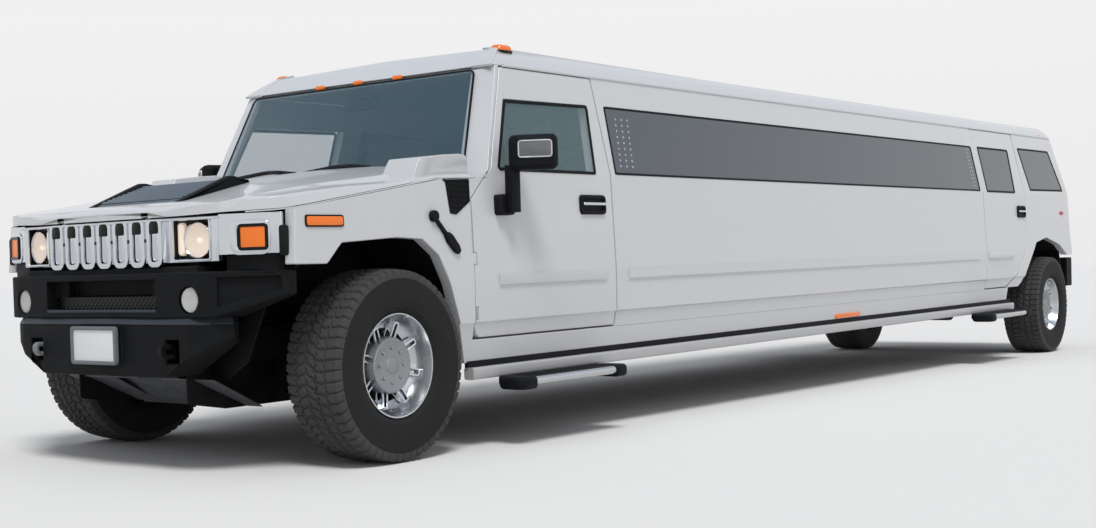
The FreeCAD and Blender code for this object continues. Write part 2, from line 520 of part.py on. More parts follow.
def front_bumper():
    """Bumper in two blocks with fog lamp pods, wing pockets, tow loops and the plate's pad."""
    upper_z0, upper_z1, lower_z0, ledge_z = 686.0, 879.0, 430.0, 657.0
    (wing_x0, wing_y0), (wing_x1, wing_y1) = WING
    upper = plan_prism(both_halves([(0.0, -850.0), (390.0, -850.0), (640.0, -836.0), *WING,
                                    (wing_x1, wing_y1 + 45), (600.0, -660.0), (0.0, -680.0)]), upper_z0, upper_z1)
    upper = upper.cut(box(-390, 390, -900, -795, 715.0, 850.0)).cut(box(-300, 300, -900, -745, 780.0, 850.0))
    pocket = wing_prism([(20.0, 730.0), (285.0, 795.0), (285.0, 852.0), (20.0, 852.0)], 22.0)
    rising = cross_prism([(wing_x0, upper_z0), (wing_x1 + 20, upper_z0 - 1), (wing_x1 + 20, upper_z0 + 96)],
                         -900.0, -500.0)
    filler = plan_prism([(700.0, -722.0), (905.0, -655.0), (930.0, -600.0), (700.0, -640.0)],
                        upper_z1 - 10, CORNER_Z0 - SEAT)
    lower_plan = [(0.0, -857.0), (587.0, -847.0), (680.0, -805.0), (740.0, -720.0), (700.0, -660.0), (0.0, -660.0)]
    ledge_plan = [(0.0, -832.0), (575.0, -822.0), (660.0, -783.0), (715.0, -712.0), (690.0, -661.0), (0.0, -661.0)]
    lower = plan_prism(both_halves(lower_plan), lower_z0, ledge_z)
    ledge = Part.makeLoft([Part.makePolygon([V(x, y, z) for x, y in ring + ring[:1]])
                           for ring, z in ((both_halves(lower_plan), ledge_z), (both_halves(ledge_plan), upper_z0))],
                          True, True)
    chamfer = cross_prism([(440.0, lower_z0), (900.0, lower_z0 - 1), (900.0, lower_z0 + 260)], -900.0, -600.0)
    notch_h = 51.0
    notch = box(TOW_X - 42, TOW_X + 42, -900.0, -740.0, TOW_Z - notch_h, TOW_Z + notch_h)
    loop = box(TOW_X - 30, TOW_X + 30, TOW_Y - TOW_T / 2, TOW_Y + TOW_T / 2, TOW_Z - notch_h + SEAT, TOW_Z + 34)
    loop = loop.cut(Part.makeCylinder(TOW_R, 60.0, V(TOW_X, TOW_Y - 30, TOW_Z), AXIS_Y))
    pad = box(-160.0, 160.0, FRONT_END, FRONT_END + 20, 484.0, 648.0)
    shelf = box(-600.0, 600.0, -800.0, -700.0, upper_z1 - 9, GRILLE_Z0)
    for side in (lambda piece: piece, mirrored):
        upper = upper.cut(side(pocket)).cut(side(rising)).fuse(side(filler))
        upper = upper.cut(side(Part.makeCylinder(FOG_R + 6, 120.0, V(FOG_X, -860.0, FOG_Z), AXIS_Y)))
        lower = lower.cut(side(chamfer)).cut(side(notch))
    node("front_bumper", fused(upper, ledge, lower, pad, shelf))
    node("tow_loops", *both(loop))

    flange_z = lower_z0 - SEAT
    plate = side_prism([(-800.0, flange_z - 12), (-800.0, flange_z), (-600.0, flange_z), (-345.0, 267.0),
                        (60.0, 267.0), (60.0, 255.0), (-350.0, 255.0), (-605.0, flange_z - 12)], -330.0, 330.0)
    node("skid_plate", plate.common(plan_prism(both_halves([(0.0, -900.0), (190.0, -900.0), (190.0, -600.0),
                                                            (330.0, -350.0), (330.0, 100.0), (0.0, 100.0)]),
                                               200.0, 500.0)))


def rear_end():
    """Rear bumper with its hitch receiver, tail lamps and roof markers."""
    front = REAR_END - 295
    plan = both_halves([(0.0, REAR_END), (600.0, REAR_END), (900.0, REAR_END - 55), (960.0, REAR_END - 145),
                        (960.0, front), (0.0, front)])
    receiver = box(-38.0, 38.0, REAR_END - 345, REAR_END - 5, 400.0, 473.0).cut(
        box(-25.4, 25.4, REAR_END - 346, REAR_END, 410.0, 461.0))
    node("rear_bumper", fused(plan_prism(plan, 473.0, 741.0), receiver))
    face = TAIL_LINE[1:3]
    lamp = side_prism([(y + SEAT, z) for y, z in face] + [(y + 15, z) for y, z in reversed(face)], 830.0, 925.0)
    node("tail_lamps", *both(lamp.common(box(0, BODY_W, REAR_END - 900, REAR_END, 1020.0, 1300.0))))


# ---- underside ---------------------------------------------------------------------------------------
def underside():
    """Ladder frame, engine, floor, tank, exhaust, side rails and steps."""
    rail = box(RAIL_X - RAIL_W / 2, RAIL_OUT, -660.0, REAR_END - 295, RAIL_Z0, RAIL_Z1)
    pieces = both(rail)
    spans = 6
    first, last = -600.0, REAR_END - 345
    for i in range(spans + 1):
        y = first + (last - first) * i / spans
        pieces.append(box(-RAIL_X, RAIL_X, y - 40, y + 40, RAIL_Z0 + 20, RAIL_Z1 - 20))
    post_z = LOW_ARM_Z - 6
    pieces += both(box(RAIL_OUT - 60, RAIL_OUT - 10, -150.0, 60.0, post_z, RAIL_Z0 + 5),
                   box(RAIL_OUT - 60, RAIL_OUT - 10, STEER_ARM + 18, STEER_ARM + 50, post_z, RAIL_Z0 + 5),
                   box(RAIL_OUT - 5, RAIL_OUT + 240, -60.0, 60.0, RAIL_Z1 - 14, RAIL_Z1))
    node("chassis_frame", fused(*pieces))

    mount_x = RAIL_X - RAIL_W / 2 - SEAT
    block = fused(box(-270.0, 270.0, -330.0, 420.0, RAIL_Z0 + 50, RAIL_Z1 + 460),
                  box(-mount_x, mount_x, 20.0, 100.0, RAIL_Z0 + 60, RAIL_Z0 + 100))
    radiator = box(-380.0, 380.0, -655.0, -595.0, RAIL_Z1 + SEAT, 1090.0)
    node("engine", block, radiator)

    floor_y = DOOR1_Y0 + 20
    floor = box(-900.0, 900.0, floor_y, WHEELBASE - 580, FLOOR_Z, FLOOR_Z + FLOOR_T)
    boot = box(-640.0 + SEAT, 640.0 - SEAT, WHEELBASE - 680, WHEELBASE + 530, FLOOR_Z, FLOOR_Z + FLOOR_T)
    firewall = box(-880.0, 880.0, floor_y, floor_y + 20, FLOOR_Z, 1270.0)
    node("floor_pan", fused(floor, boot, firewall))

    tank_y = WHEELBASE - 2280
    tank = box(-RAIL_X + RAIL_W / 2 + SEAT, -60.0, tank_y, tank_y + 1000, RAIL_Z0 - 140, RAIL_Z1 - 20)
    node("fuel_tank", rounded(tank, 40.0, AXIS_Y))
    pipe_x, pipe_z = RAIL_OUT + 160, RAIL_Z0 - 20
    pipe_y0, pipe_y1, box_y0 = 1200.0, WHEELBASE - 680, 3000.0
    hangers = [box(pipe_x - 3, pipe_x + 3, y, y + 20, pipe_z, FLOOR_Z - SEAT)
               for y in (pipe_y0 + 300, (pipe_y0 + pipe_y1) / 2, pipe_y1 - 400)]
    node("exhaust", fused(rod(38.0, V(pipe_x, pipe_y0, pipe_z), V(pipe_x, pipe_y1, pipe_z)),
                          rod(110.0, V(pipe_x, box_y0, pipe_z), V(pipe_x, box_y0 + 900, pipe_z)), *hangers))

    side_y0, side_y1 = DOOR1_Y0 - 30, WHEELBASE - 970
    side_rail = box(965.0, 1015.0, side_y0, side_y1, 300.0, 360.0)
    stays = 6
    stay_pitch = (side_y1 - side_y0 - 340) / (stays - 1)
    stay_boxes = [box(972.0, 992.0, y, y + 30, 355.0, SILL_Z - SEAT)
                  for y in [side_y0 + 170 + stay_pitch * i for i in range(stays)]]
    node("side_rails", *both(fused(side_rail, *stay_boxes)))
    steps = [box(1015.0 + SEAT, 1180.0, y0, y1, 280.0, 330.0)
             for y0, y1 in ((DOOR1_Y0 + 10, DOOR1_Y1 - 60), (DOOR2_Y0 - 480, DOOR2_Y0 + 720))]
    node("running_steps", *both(*steps))


def wheelhouses():
    """Black liners over the four wheels."""
    x0, x1, liner_t = 500.0, 950.0, 12.0
    front = [(-560.0, 888.0), (-560.0, 930.0), (-430.0, 1040.0), (200.0, 1045.0), (380.0, 840.0),
             (545.0, 560.0), (545.0, SILL_Z)]
    inner = [(-548.0, 300.0), (-548.0, 925.0), (-425.0, 1028.0), (194.0, 1033.0), (369.0, 834.0),
             (533.0, 557.0), (533.0, 300.0)]
    shell = side_prism(front, x0, x1).cut(side_prism(inner, x0 + liner_t, x1 + 10))
    shell = shell.cut(box(x0 - 10, x0 + liner_t + 1, -548.0, 533.0, 300.0, 660.0))
    shell = shell.cut(wall(SILL_Z - 50, 1100.0, -700.0, 600.0, depth=WALL + SEAT))
    rear_y, _ = unraked(WHEELBASE, HUB_Z)
    back = [(rear_y - 560, 560.0), (rear_y - 400, 840.0), (rear_y - 250, 940.0), (rear_y + 250, 940.0),
            (rear_y + 470, 820.0), (rear_y + 520, 640.0)]
    core = [(rear_y - 548, 300.0), (rear_y - 392, 831.0), (rear_y - 246, 928.0), (rear_y + 246, 928.0),
            (rear_y + 459, 811.0), (rear_y + 508, 640.0), (rear_y + 508, 300.0)]
    rear = side_prism(back, 640.0, 953.0).cut(side_prism(core, 640.0 + liner_t, 960.0))
    node("wheelhouses", *both(shell, rear))


def rear_spring():
    """Leaf spring over the rear axle with its saddle and hangers, in the ground frame."""
    top, reach, sag, thick = HUB_Z + 95.0, 620.0, 40.0, 26.0
    edges = []
    for z in (top, top - thick):
        edges.append(Part.Arc(V(0, WHEELBASE - reach, z + sag), V(0, WHEELBASE, z),
                              V(0, WHEELBASE + reach, z + sag)).toShape())
    for y in (WHEELBASE + reach, WHEELBASE - reach):
        edges.append(Part.makeLine(V(0, y, top + sag), V(0, y, top + sag - thick)))
    face = Part.Face(Part.Wire(Part.__sortEdges__(edges)))
    leaf = face.extrude(V(70.0, 0, 0))
    leaf.translate(V(RAIL_X - 35.0, 0, 0))
    saddle = box(RAIL_X - 35, RAIL_X + 35, WHEELBASE - 60, WHEELBASE + 60, HUB_Z, top - thick + 1)
    saddle = saddle.cut(Part.makeCylinder(AXLE_R + SEAT, 200.0, V(RAIL_X - 100, WHEELBASE, HUB_Z), AXIS_X))
    shackle = box(RAIL_X - 25, RAIL_X + 25, WHEELBASE + reach - 20, WHEELBASE + reach, top, RAIL_Z1 - 36)
    return fused(leaf, saddle, shackle)


def running_gear():
    """Suspension arms, rear axle, knuckles and steering rod."""
    arms = []
    for z, inner_x in ((LOW_ARM_Z, RAIL_OUT - 10 + SEAT), (HIGH_ARM_Z, RAIL_OUT + SEAT)):
        plan = [(inner_x, -150.0), (KING_X - 20, -35.0), (KING_X + 20, -35.0), (KING_X + 20, 35.0),
                (KING_X - 20, 35.0), (inner_x, 150.0), (inner_x, 110.0), (KING_X - 60, 0.0), (inner_x, -110.0)]
        arms.append(plan_prism(plan, z, z + ARM_T))
    coil_x = KING_X - 181.5
    coil = rod(50.0, V(coil_x, 0.0, LOW_ARM_Z + ARM_T - 5), V(coil_x, 0.0, RAIL_Z1 - 14 - SEAT - 0.9))
    node("suspension", *both(fused(arms[0], arms[1], coil), rear_spring()), level=True)

    axle = [rod(AXLE_R, V(-STUB_END + 105, WHEELBASE, HUB_Z), V(STUB_END - 105, WHEELBASE, HUB_Z)),
            rod(STUB_R, V(-STUB_END, WHEELBASE, HUB_Z), V(STUB_END, WHEELBASE, HUB_Z)),
            rod(150.0, V(-90.0, WHEELBASE, HUB_Z), V(90.0, WHEELBASE, HUB_Z)),
            rod(42.0, V(0, 900.0, HUB_Z), V(0, WHEELBASE - 100, HUB_Z + 20))]
    node("driveline", fused(*axle), level=True)

    lever_x = KING_X - 21
    for side, sign in (("left", 1), ("right", -1)):
        king = V(sign * KING_X, 0, HUB_Z)
        post = rod(22.0, V(king.x, 0, LOW_ARM_Z + ARM_T + SEAT), V(king.x, 0, HIGH_ARM_Z - SEAT))
        stub = rod(STUB_R, king, V(sign * STUB_END, 0, HUB_Z))
        lever = box(sign * lever_x - 15, sign * lever_x + 15, 0, STEER_ARM + 15, HUB_Z - 65, HUB_Z - 45)
        upright = side_prism([(-40.0, HUB_Z - 105), (40.0, HUB_Z - 105), (75.0, HUB_Z), (40.0, HUB_Z + 105),
                              (-40.0, HUB_Z + 105), (-75.0, HUB_Z)], king.x, king.x + sign * 28)
        node("knuckle_" + side, fused(post, stub, lever, upright), level=True)
    rod_z = HUB_Z - 65 - SEAT - 10
    node("steering_rod", rod(10.0, V(-lever_x, STEER_ARM, rod_z), V(lever_x, STEER_ARM, rod_z)), level=True)


def wheels():
    """Four tyres and their rims with a round centre disc on eight spokes."""
    half, shoulder = TYRE_W / 2, 20.0
    tyre = [(-half, RIM_R + SEAT), (-half, TYRE_R - shoulder), (-half + shoulder, TYRE_R),
            (half - shoulder, TYRE_R), (half, TYRE_R - shoulder), (half, RIM_R + SEAT)]
    barrel = [(-RIM_W / 2, BARREL_R), (-RIM_W / 2, RIM_R), (RIM_W / 2, RIM_R), (RIM_W / 2, BARREL_R)]
    hub = [(-45.0, STUB_R + RUN_FIT), (-45.0, 106.0), (75.0, 106.0), (75.0, 0.0),
           (STUB_END - HUB_X + 12, 0.0), (STUB_END - HUB_X + 12, STUB_R + RUN_FIT)]
    for name, x, y in (("front_left", HUB_X, 0.0), ("front_right", -HUB_X, 0.0),
                       ("rear_left", HUB_X, WHEELBASE), ("rear_right", -HUB_X, WHEELBASE)):
        centre = V(abs(x), y, HUB_Z)
        spokes = []
        for i in range(SPOKES):
            spoke = side_prism([(y - 22, HUB_Z + 95.0), (y - 15, HUB_Z + BARREL_R + 5),
                                (y + 15, HUB_Z + BARREL_R + 5), (y + 22, HUB_Z + 95.0)],
                               centre.x + 25, centre.x + 58)
            spoke.rotate(centre, AXIS_X, 360.0 / SPOKES * i)
            spokes.append(spoke)
        rim = fused(ring(barrel, centre), ring(hub, centre), *spokes)
        side = mirrored if x < 0 else (lambda piece: piece)
        node("tyre_" + name, side(ring(tyre, centre)), level=True)
        node("rim_" + name, side(rim), level=True)


# ---- inside ----------------------------------------------------------------------------------------------
def interior():
    """What shows through the glass: dashboard, seats, bar and partition."""
    dash = side_prism([(690.0 + SEAT, 1000.0), (690.0 + SEAT, 1290.0 - SEAT), (720.0, 1305.0), (800.0, 1330.0),
                       (960.0, 1290.0), (1000.0, 1100.0), (900.0, 1000.0)], -850.0, 850.0)
    hub = V(400.0, 1130.0, 1230.0)
    wheel = fused(Part.makeCylinder(190.0, 24.0, hub, AXIS_Y).cut(Part.makeCylinder(166.0, 24.0, hub, AXIS_Y)),
                  box(hub.x - 175, hub.x + 175, hub.y + 4, hub.y + 20, hub.z - 20, hub.z + 20))
    wheel.rotate(hub, AXIS_X, 24.0)
    column = rod(30.0, V(hub.x, 950.0, 1150.0), hub + V(0, 15, 6))
    node("dashboard", fused(dash, column, wheel))

    floor = FLOOR_Z + FLOOR_T + SEAT
    back = side_prism([(1600.0, 960.0), (1700.0, 1620.0), (1790.0, 1620.0), (1740.0, 960.0)], 180.0, 680.0)
    front_seat = fused(box(170.0, 690.0, 1230.0, 1740.0, floor, 960.0), back)
    lounge_y0, lounge_y1 = 2300.0, DOOR2_Y1 - 165
    lounge = fused(box(-850.0, -350.0, lounge_y0, lounge_y1, floor, 1000.0),
                   box(-865.0, -730.0, lounge_y0, lounge_y1, 1000.0, 1300.0))
    bar = box(450.0, 850.0, lounge_y0, DOOR2_Y0 - 160, floor, 1150.0)
    bench_y = WHEELBASE - 530
    rear_seat = fused(box(-600.0, 600.0, bench_y, bench_y + 550, floor, 1000.0),
                      box(-600.0, 600.0, bench_y + 450, bench_y + 630, 1000.0, 1400.0))
    node("seats", front_seat, mirrored(front_seat), lounge, rear_seat, bar)
    node("partition", box(-885.0, 885.0, 1900.0, 1930.0, floor, 1300.0))


def build():
    """Build every node, put the middle of the length at the origin and write the files."""
    body_sides()
    roof_cap = roof_shell()
    node("roof", roof_cap)
    windscreen()
    fenders()
    bonnet()
    tailgate()
    doors()
    lamps(grille(), roof_cap)
    front_bumper()
    rear_end()
    underside()
    wheelhouses()
    running_gear()
    wheels()
    interior()
    os.makedirs("parts", exist_ok=True)
    whole = Part.makeCompound(list(NODES.values())).BoundBox
    shift = V(0, -(whole.YMin + whole.YMax) / 2, 0)
    for name, shape in NODES.items():
        shape.translate(shift)
        shape.exportStep("parts/" + name + ".step")
    print("middle of the length at", -shift.y, "length", whole.YLength, "width", whole.XLength,
          "height", whole.ZLength, "nodes", len(NODES))


build()
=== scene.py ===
"""Looks of a white stretch limousine on a boxy off-roader base.

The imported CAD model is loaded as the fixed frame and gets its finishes.  Pieces that only the
looks need, such as tyre tread, lamp lenses, seals and trim, are built here and ride on its bodies.
The row frame is in metres: +Z up, the front towards -Y, the vehicle's left towards +X.
Places on the body are given in millimetres behind the front axle and before the body's rake.
"""

import json
import logging
import math
from dataclasses import dataclass
from enum import Enum
from typing import Any, ClassVar, Optional, Sequence

import bmesh
import bpy
import numpy as np
from mathutils import Matrix, Vector

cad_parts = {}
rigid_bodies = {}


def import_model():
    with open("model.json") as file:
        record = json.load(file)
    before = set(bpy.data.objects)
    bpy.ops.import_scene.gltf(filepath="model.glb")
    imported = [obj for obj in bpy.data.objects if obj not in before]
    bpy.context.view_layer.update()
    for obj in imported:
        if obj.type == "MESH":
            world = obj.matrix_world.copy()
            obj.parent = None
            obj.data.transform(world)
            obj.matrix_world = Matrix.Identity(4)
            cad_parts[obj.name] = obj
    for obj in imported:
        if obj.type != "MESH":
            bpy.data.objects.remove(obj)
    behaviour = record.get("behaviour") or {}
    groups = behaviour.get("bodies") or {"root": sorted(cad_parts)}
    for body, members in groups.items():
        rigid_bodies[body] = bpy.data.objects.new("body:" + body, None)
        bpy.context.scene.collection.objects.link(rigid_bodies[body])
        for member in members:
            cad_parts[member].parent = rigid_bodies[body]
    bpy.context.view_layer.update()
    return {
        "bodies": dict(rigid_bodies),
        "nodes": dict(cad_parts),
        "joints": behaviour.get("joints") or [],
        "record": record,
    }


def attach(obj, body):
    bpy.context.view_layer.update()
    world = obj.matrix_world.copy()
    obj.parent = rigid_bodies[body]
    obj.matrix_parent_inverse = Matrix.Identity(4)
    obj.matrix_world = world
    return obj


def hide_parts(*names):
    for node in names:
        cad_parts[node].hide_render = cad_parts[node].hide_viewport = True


log = logging.getLogger("limousine")

MM = 0.001
MIDDLE_Y = 4538.17 * MM          # the front axle lies this far in front of the middle of the length
HUB_Z = 434.5 * MM               # height of the wheels' centres
RAKE = math.radians(0.685)       # the body stands this much higher at the rear
WHEELBASE = 8980.0

SEAM = 1e-6                      # points of a new surface nearer than this, in metres, are one
PACKED_SEAM = 2e-5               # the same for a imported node's loose triangles
FLAT_TURN = math.radians(1.0)    # packed triangles that turn by less than this are one flat face
SMOOTH_TURN = math.radians(38.0)  # eased edges that turn by less than this are shaded smooth
SHUT_TILT = 0.4                  # a face lies down or up when its normal's Z is past this
SHORT_EDGE = 2.4                 # edges shorter than this many radii aren't rounded
EASED_STEPS = 2                  # faces across a rounded edge

Array = np.ndarray
Node = bpy.types.Node
Pair = tuple[float, float]
Place = tuple[float, float, float]
Colour = tuple[float, float, float, float]
Tree = bpy.types.NodeTree


class Body(str, Enum):
    """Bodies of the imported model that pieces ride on."""

    VEHICLE = "vehicle"
    BONNET = "bonnet"
    TAILGATE = "tailgate"
    DOOR_FRONT_LEFT = "door_front_left"
    DOOR_FRONT_RIGHT = "door_front_right"
    DOOR_REAR_LEFT = "door_rear_left"
    DOOR_REAR_RIGHT = "door_rear_right"
    WHEEL_FRONT_LEFT = "wheel_front_left"
    WHEEL_FRONT_RIGHT = "wheel_front_right"
    WHEEL_REAR_LEFT = "wheel_rear_left"
    WHEEL_REAR_RIGHT = "wheel_rear_right"


# ---- places and colours

def body_points(points: Array) -> Array:
    """Turns places on the body into the row frame.

    Args:
        points: (..., 3) millimetres to the left, behind the front axle and up, before the rake.
    Returns:
        (..., 3) metres in the row frame.
    """
    points = np.asarray(points, float) * MM
    y, z = points[..., 1], points[..., 2] - HUB_Z
    return np.stack((points[..., 0],
                     y * math.cos(RAKE) - z * math.sin(RAKE) - MIDDLE_Y,
                     y * math.sin(RAKE) + z * math.cos(RAKE) + HUB_Z), axis=-1)


def unraked(points: Array) -> Array:
    """Turns places in the row frame back into millimetres on the body before its rake.

    Args:
        points: (n, 3) metres in the row frame.
    Returns:
        (n, 3) millimetres.
    """
    y, z = points[:, 1] + MIDDLE_Y, points[:, 2] - HUB_Z
    level = np.column_stack((points[:, 0], y * math.cos(RAKE) + z * math.sin(RAKE),
                             z * math.cos(RAKE) - y * math.sin(RAKE) + HUB_Z))
    return level / MM


def linear(hex_colour: str, alpha: float = 1.0) -> Colour:
    """Turns an sRGB colour into linear light, channel by channel.

    Args:
        hex_colour: six hexadecimal digits.
        alpha: how opaque it is.
    Returns:
        Red, green, blue and alpha.
    """
    channels = [int(hex_colour[i:i + 2], 16) / 255 for i in (0, 2, 4)]
    red, green, blue = (c / 12.92 if c <= 0.04045 else ((c + 0.055) / 1.055) ** 2.4
                        for c in channels)
    return red, green, blue, alpha


# ---- finishes

def add_node(tree: Tree, kind: str, settings: Optional[dict[str, Any]] = None,
             links: Optional[dict[Any, Any]] = None, **attributes: Any) -> Node:
    """Adds one node to a tree.

    Args:
        tree: the node tree.
        kind: name of the node's type.
        settings: input sockets' values, by name or number.
        links: output sockets to link in, by the input's name or number.
        attributes: plain attributes of the node.
    Returns:
        The new node.
    """
    node = tree.nodes.new(kind)
    for name, value in attributes.items():
        setattr(node, name, value)
    for socket, value in (settings or {}).items():
        node.inputs[socket].default_value = value
    for socket, source in (links or {}).items():
        tree.links.new(source, node.inputs[socket])
    return node


@dataclass(frozen=True)
class Finish:
    """A finish with one shader; subclasses add what the real surface shows.

    Attributes:
        name: the material's name.
        colour: sRGB hex value of the surface.
        roughness: microfacet roughness.
        metallic: 1 for bare metal.
        ior: index of refraction.
        coat: weight of a clear coat.
        alpha: how much of what is behind is covered.
    """

    name: str
    colour: str
    roughness: float
    metallic: float = 0.0
    ior: float = 1.5
    coat: float = 0.0
    alpha: float = 1.0

    def build(self) -> bpy.types.Material:
        """Makes the material, or finds the one made before.

        Returns:
            The material.
        """
        if self.name in bpy.data.materials:
            return bpy.data.materials[self.name]
        material = bpy.data.materials.new(self.name)
        material.use_nodes = True
        tree = material.node_tree
        tree.nodes.clear()
        shader = add_node(tree, "ShaderNodeBsdfPrincipled", {
            "Base Color": linear(self.colour), "Roughness": self.roughness,
            "Metallic": self.metallic, "IOR": self.ior, "Coat Weight": self.coat,
            "Coat Roughness": 0.03, "Alpha": self.alpha})
        add_node(tree, "ShaderNodeOutputMaterial", links={"Surface": shader.outputs[0]})
        place = add_node(tree, "ShaderNodeTexCoord").outputs["Object"]
        self.detail(tree, shader, place)
        return material

    def detail(self, tree: Tree, shader: Node, place: Any) -> None:
        """Adds colour variation, grain or wear; a plain finish has none.

        Args:
            tree: the material's nodes.
            shader: its shader.
            place: object coordinates.
        """


@dataclass(frozen=True)
class Enamel(Finish):
    """Body enamel under clear coat, sprayed and baked: faint orange peel, and a darker tone in
    blotches low down.

    Attributes:
        low_tone: sRGB hex value of the darker tone low down.
        low_tone_top: height in metres above which it is not mixed in.
        low_tone_bottom: height in metres below which it is strongest.
        peel: depth of the orange peel in metres.
    """

    low_tone: str = "b9b6b0"
    low_tone_top: float = 0.62
    low_tone_bottom: float = 0.32
    peel: float = 0.0035

    def detail(self, tree: Tree, shader: Node, place: Any) -> None:
        """Mixes blotches of the darker tone in below low_tone_top metres and ripples the coat.

        Args:
            tree: the material's nodes.
            shader: its shader.
            place: object coordinates.
        """
        height = add_node(tree, "ShaderNodeSeparateXYZ", links={0: place}).outputs["Z"]
        low = add_node(tree, "ShaderNodeMapRange", {
            "From Min": self.low_tone_top, "From Max": self.low_tone_bottom, "To Min": 0.0, "To Max": 0.5},
                       {"Value": height}, interpolation_type="SMOOTHSTEP")
        blotches = add_node(tree, "ShaderNodeTexNoise", {"Scale": 1 / 0.35, "Detail": 4.0},
                            {"Vector": place})
        amount = add_node(tree, "ShaderNodeMath", links={
            0: low.outputs[0], 1: blotches.outputs["Fac"]}, operation="MULTIPLY")
        mix = add_node(tree, "ShaderNodeMix", {6: linear(self.colour), 7: linear(self.low_tone)},
                       {0: amount.outputs[0]}, data_type="RGBA")
        tree.links.new(mix.outputs[2], shader.inputs["Base Color"])
        # orange peel has waves about 8 mm apart; drawn at 25 mm so that it shows at this distance
        waves = add_node(tree, "ShaderNodeTexNoise", {"Scale": 1 / 0.025, "Detail": 1.0},
                         {"Vector": place})
        bump = add_node(tree, "ShaderNodeBump", {"Strength": 0.04, "Distance": self.peel},
                        {"Height": waves.outputs["Fac"]})
        tree.links.new(bump.outputs[0], shader.inputs["Coat Normal"])


@dataclass(frozen=True)
class Moulded(Finish):
    """Moulded plastic or rubber with a pebbled grain and slightly uneven colour.

    Attributes:
        grain: distance between the grain's pebbles in metres.
        relief: strength of the grain.
        worn: sRGB hex value that the high spots have faded to.
    """

    grain: float = 0.004
    relief: float = 0.25
    worn: str = "4a4a4a"

    def detail(self, tree: Tree, shader: Node, place: Any) -> None:
        """Adds the pebbles as bump and the fading as blotches of colour.

        Args:
            tree: the material's nodes.
            shader: its shader.
            place: object coordinates.
        """
        blotches = add_node(tree, "ShaderNodeTexNoise", {
            "Scale": 1 / 0.12, "Detail": 5.0, "Roughness": 0.6}, {"Vector": place})
        fade = add_node(tree, "ShaderNodeMapRange", {
            "From Min": 0.45, "From Max": 0.8, "To Max": 0.55}, {"Value": blotches.outputs["Fac"]})
        mix = add_node(tree, "ShaderNodeMix", {6: linear(self.colour), 7: linear(self.worn)},
                       {0: fade.outputs[0]}, data_type="RGBA")
        tree.links.new(mix.outputs[2], shader.inputs["Base Color"])
        pebbles = add_node(tree, "ShaderNodeTexVoronoi", {"Scale": 1 / self.grain},
                           {"Vector": place})
        bump = add_node(
            tree, "ShaderNodeBump", {"Strength": self.relief, "Distance": self.grain * 0.3},
            {"Height": pebbles.outputs["Distance"]})
        tree.links.new(bump.outputs[0], shader.inputs["Normal"])


@dataclass(frozen=True)
class Cast(Finish):
    """Cast or rolled metal: a sandy skin with darker patches of oxide and road dirt.

    Attributes:
        grit: distance between the sand grains' marks in metres.
        dirt: sRGB hex value of the patches.
        relief: strength of the skin's roughness.
    """

    grit: float = 0.003
    dirt: str = "2b2926"
    relief: float = 0.2

    def detail(self, tree: Tree, shader: Node, place: Any) -> None:
        """Adds the dirt as colour and roughness, and the grit as bump.

        Args:
            tree: the material's nodes.
            shader: its shader.
            place: object coordinates.
        """
        patches = add_node(tree, "ShaderNodeTexNoise", {
            "Scale": 1 / 0.09, "Detail": 6.0, "Roughness": 0.65}, {"Vector": place})
        share = add_node(tree, "ShaderNodeMapRange", {
            "From Min": 0.42, "From Max": 0.7, "To Max": 0.8}, {"Value": patches.outputs["Fac"]})
        mix = add_node(tree, "ShaderNodeMix", {6: linear(self.colour), 7: linear(self.dirt)},
                       {0: share.outputs[0]}, data_type="RGBA")
        tree.links.new(mix.outputs[2], shader.inputs["Base Color"])
        dull = add_node(tree, "ShaderNodeMapRange", {
            "To Min": self.roughness, "To Max": min(self.roughness + 0.25, 1)},
                        {"Value": share.outputs[0]})
        tree.links.new(dull.outputs[0], shader.inputs["Roughness"])
        sand = add_node(tree, "ShaderNodeTexNoise", {"Scale": 1 / self.grit, "Detail": 2.0},
                        {"Vector": place})
        bump = add_node(
            tree, "ShaderNodeBump", {"Strength": self.relief, "Distance": self.grit * 0.4},
            {"Height": sand.outputs["Fac"]})
        tree.links.new(bump.outputs[0], shader.inputs["Normal"])


@dataclass(frozen=True)
class Plated(Finish):
    """Polished or plated metal, with a haze of fine wiping marks in its gloss.

    Attributes:
        haze: how much rougher the marks are than the clean metal.
    """

    haze: float = 0.12

    def detail(self, tree: Tree, shader: Node, place: Any) -> None:
        """Varies the roughness in soft clouds 60 mm across.

        Args:
            tree: the material's nodes.
            shader: its shader.
            place: object coordinates.
        """
        clouds = add_node(tree, "ShaderNodeTexNoise", {"Scale": 1 / 0.06, "Detail": 5.0},
                          {"Vector": place})
        gloss = add_node(tree, "ShaderNodeMapRange", {
            "From Min": 0.35, "From Max": 0.75, "To Min": self.roughness,
            "To Max": self.roughness + self.haze}, {"Value": clouds.outputs["Fac"]})
        tree.links.new(gloss.outputs[0], shader.inputs["Roughness"])


@dataclass(frozen=True)
class Pane(Finish):
    """Float glass tinted in the melt: smooth, dark, and partly covering what is behind it."""


@dataclass(frozen=True)
class Lens(Finish):
    """Clear or coloured acrylic lamp lens; a low glow stands for light caught in its prisms.

    Attributes:
        glow: strength of the caught light.
        prism: distance between the prisms in metres.
    """

    glow: float = 0.25
    prism: float = 0.009

    def detail(self, tree: Tree, shader: Node, place: Any) -> None:
        """Adds the prisms as bump and the caught light as a faint glow.

        Args:
            tree: the material's nodes.
            shader: its shader.
            place: object coordinates.
        """
        shader.inputs["Emission Color"].default_value = linear(self.colour)
        shader.inputs["Emission Strength"].default_value = self.glow
        ribs = add_node(tree, "ShaderNodeTexVoronoi", {
            "Scale": 1 / self.prism, "Randomness": 0.2}, {"Vector": place})
        bump = add_node(tree, "ShaderNodeBump", {"Strength": 0.35, "Distance": 0.002},
                        {"Height": ribs.outputs["Distance"]})
        tree.links.new(bump.outputs[0], shader.inputs["Normal"])


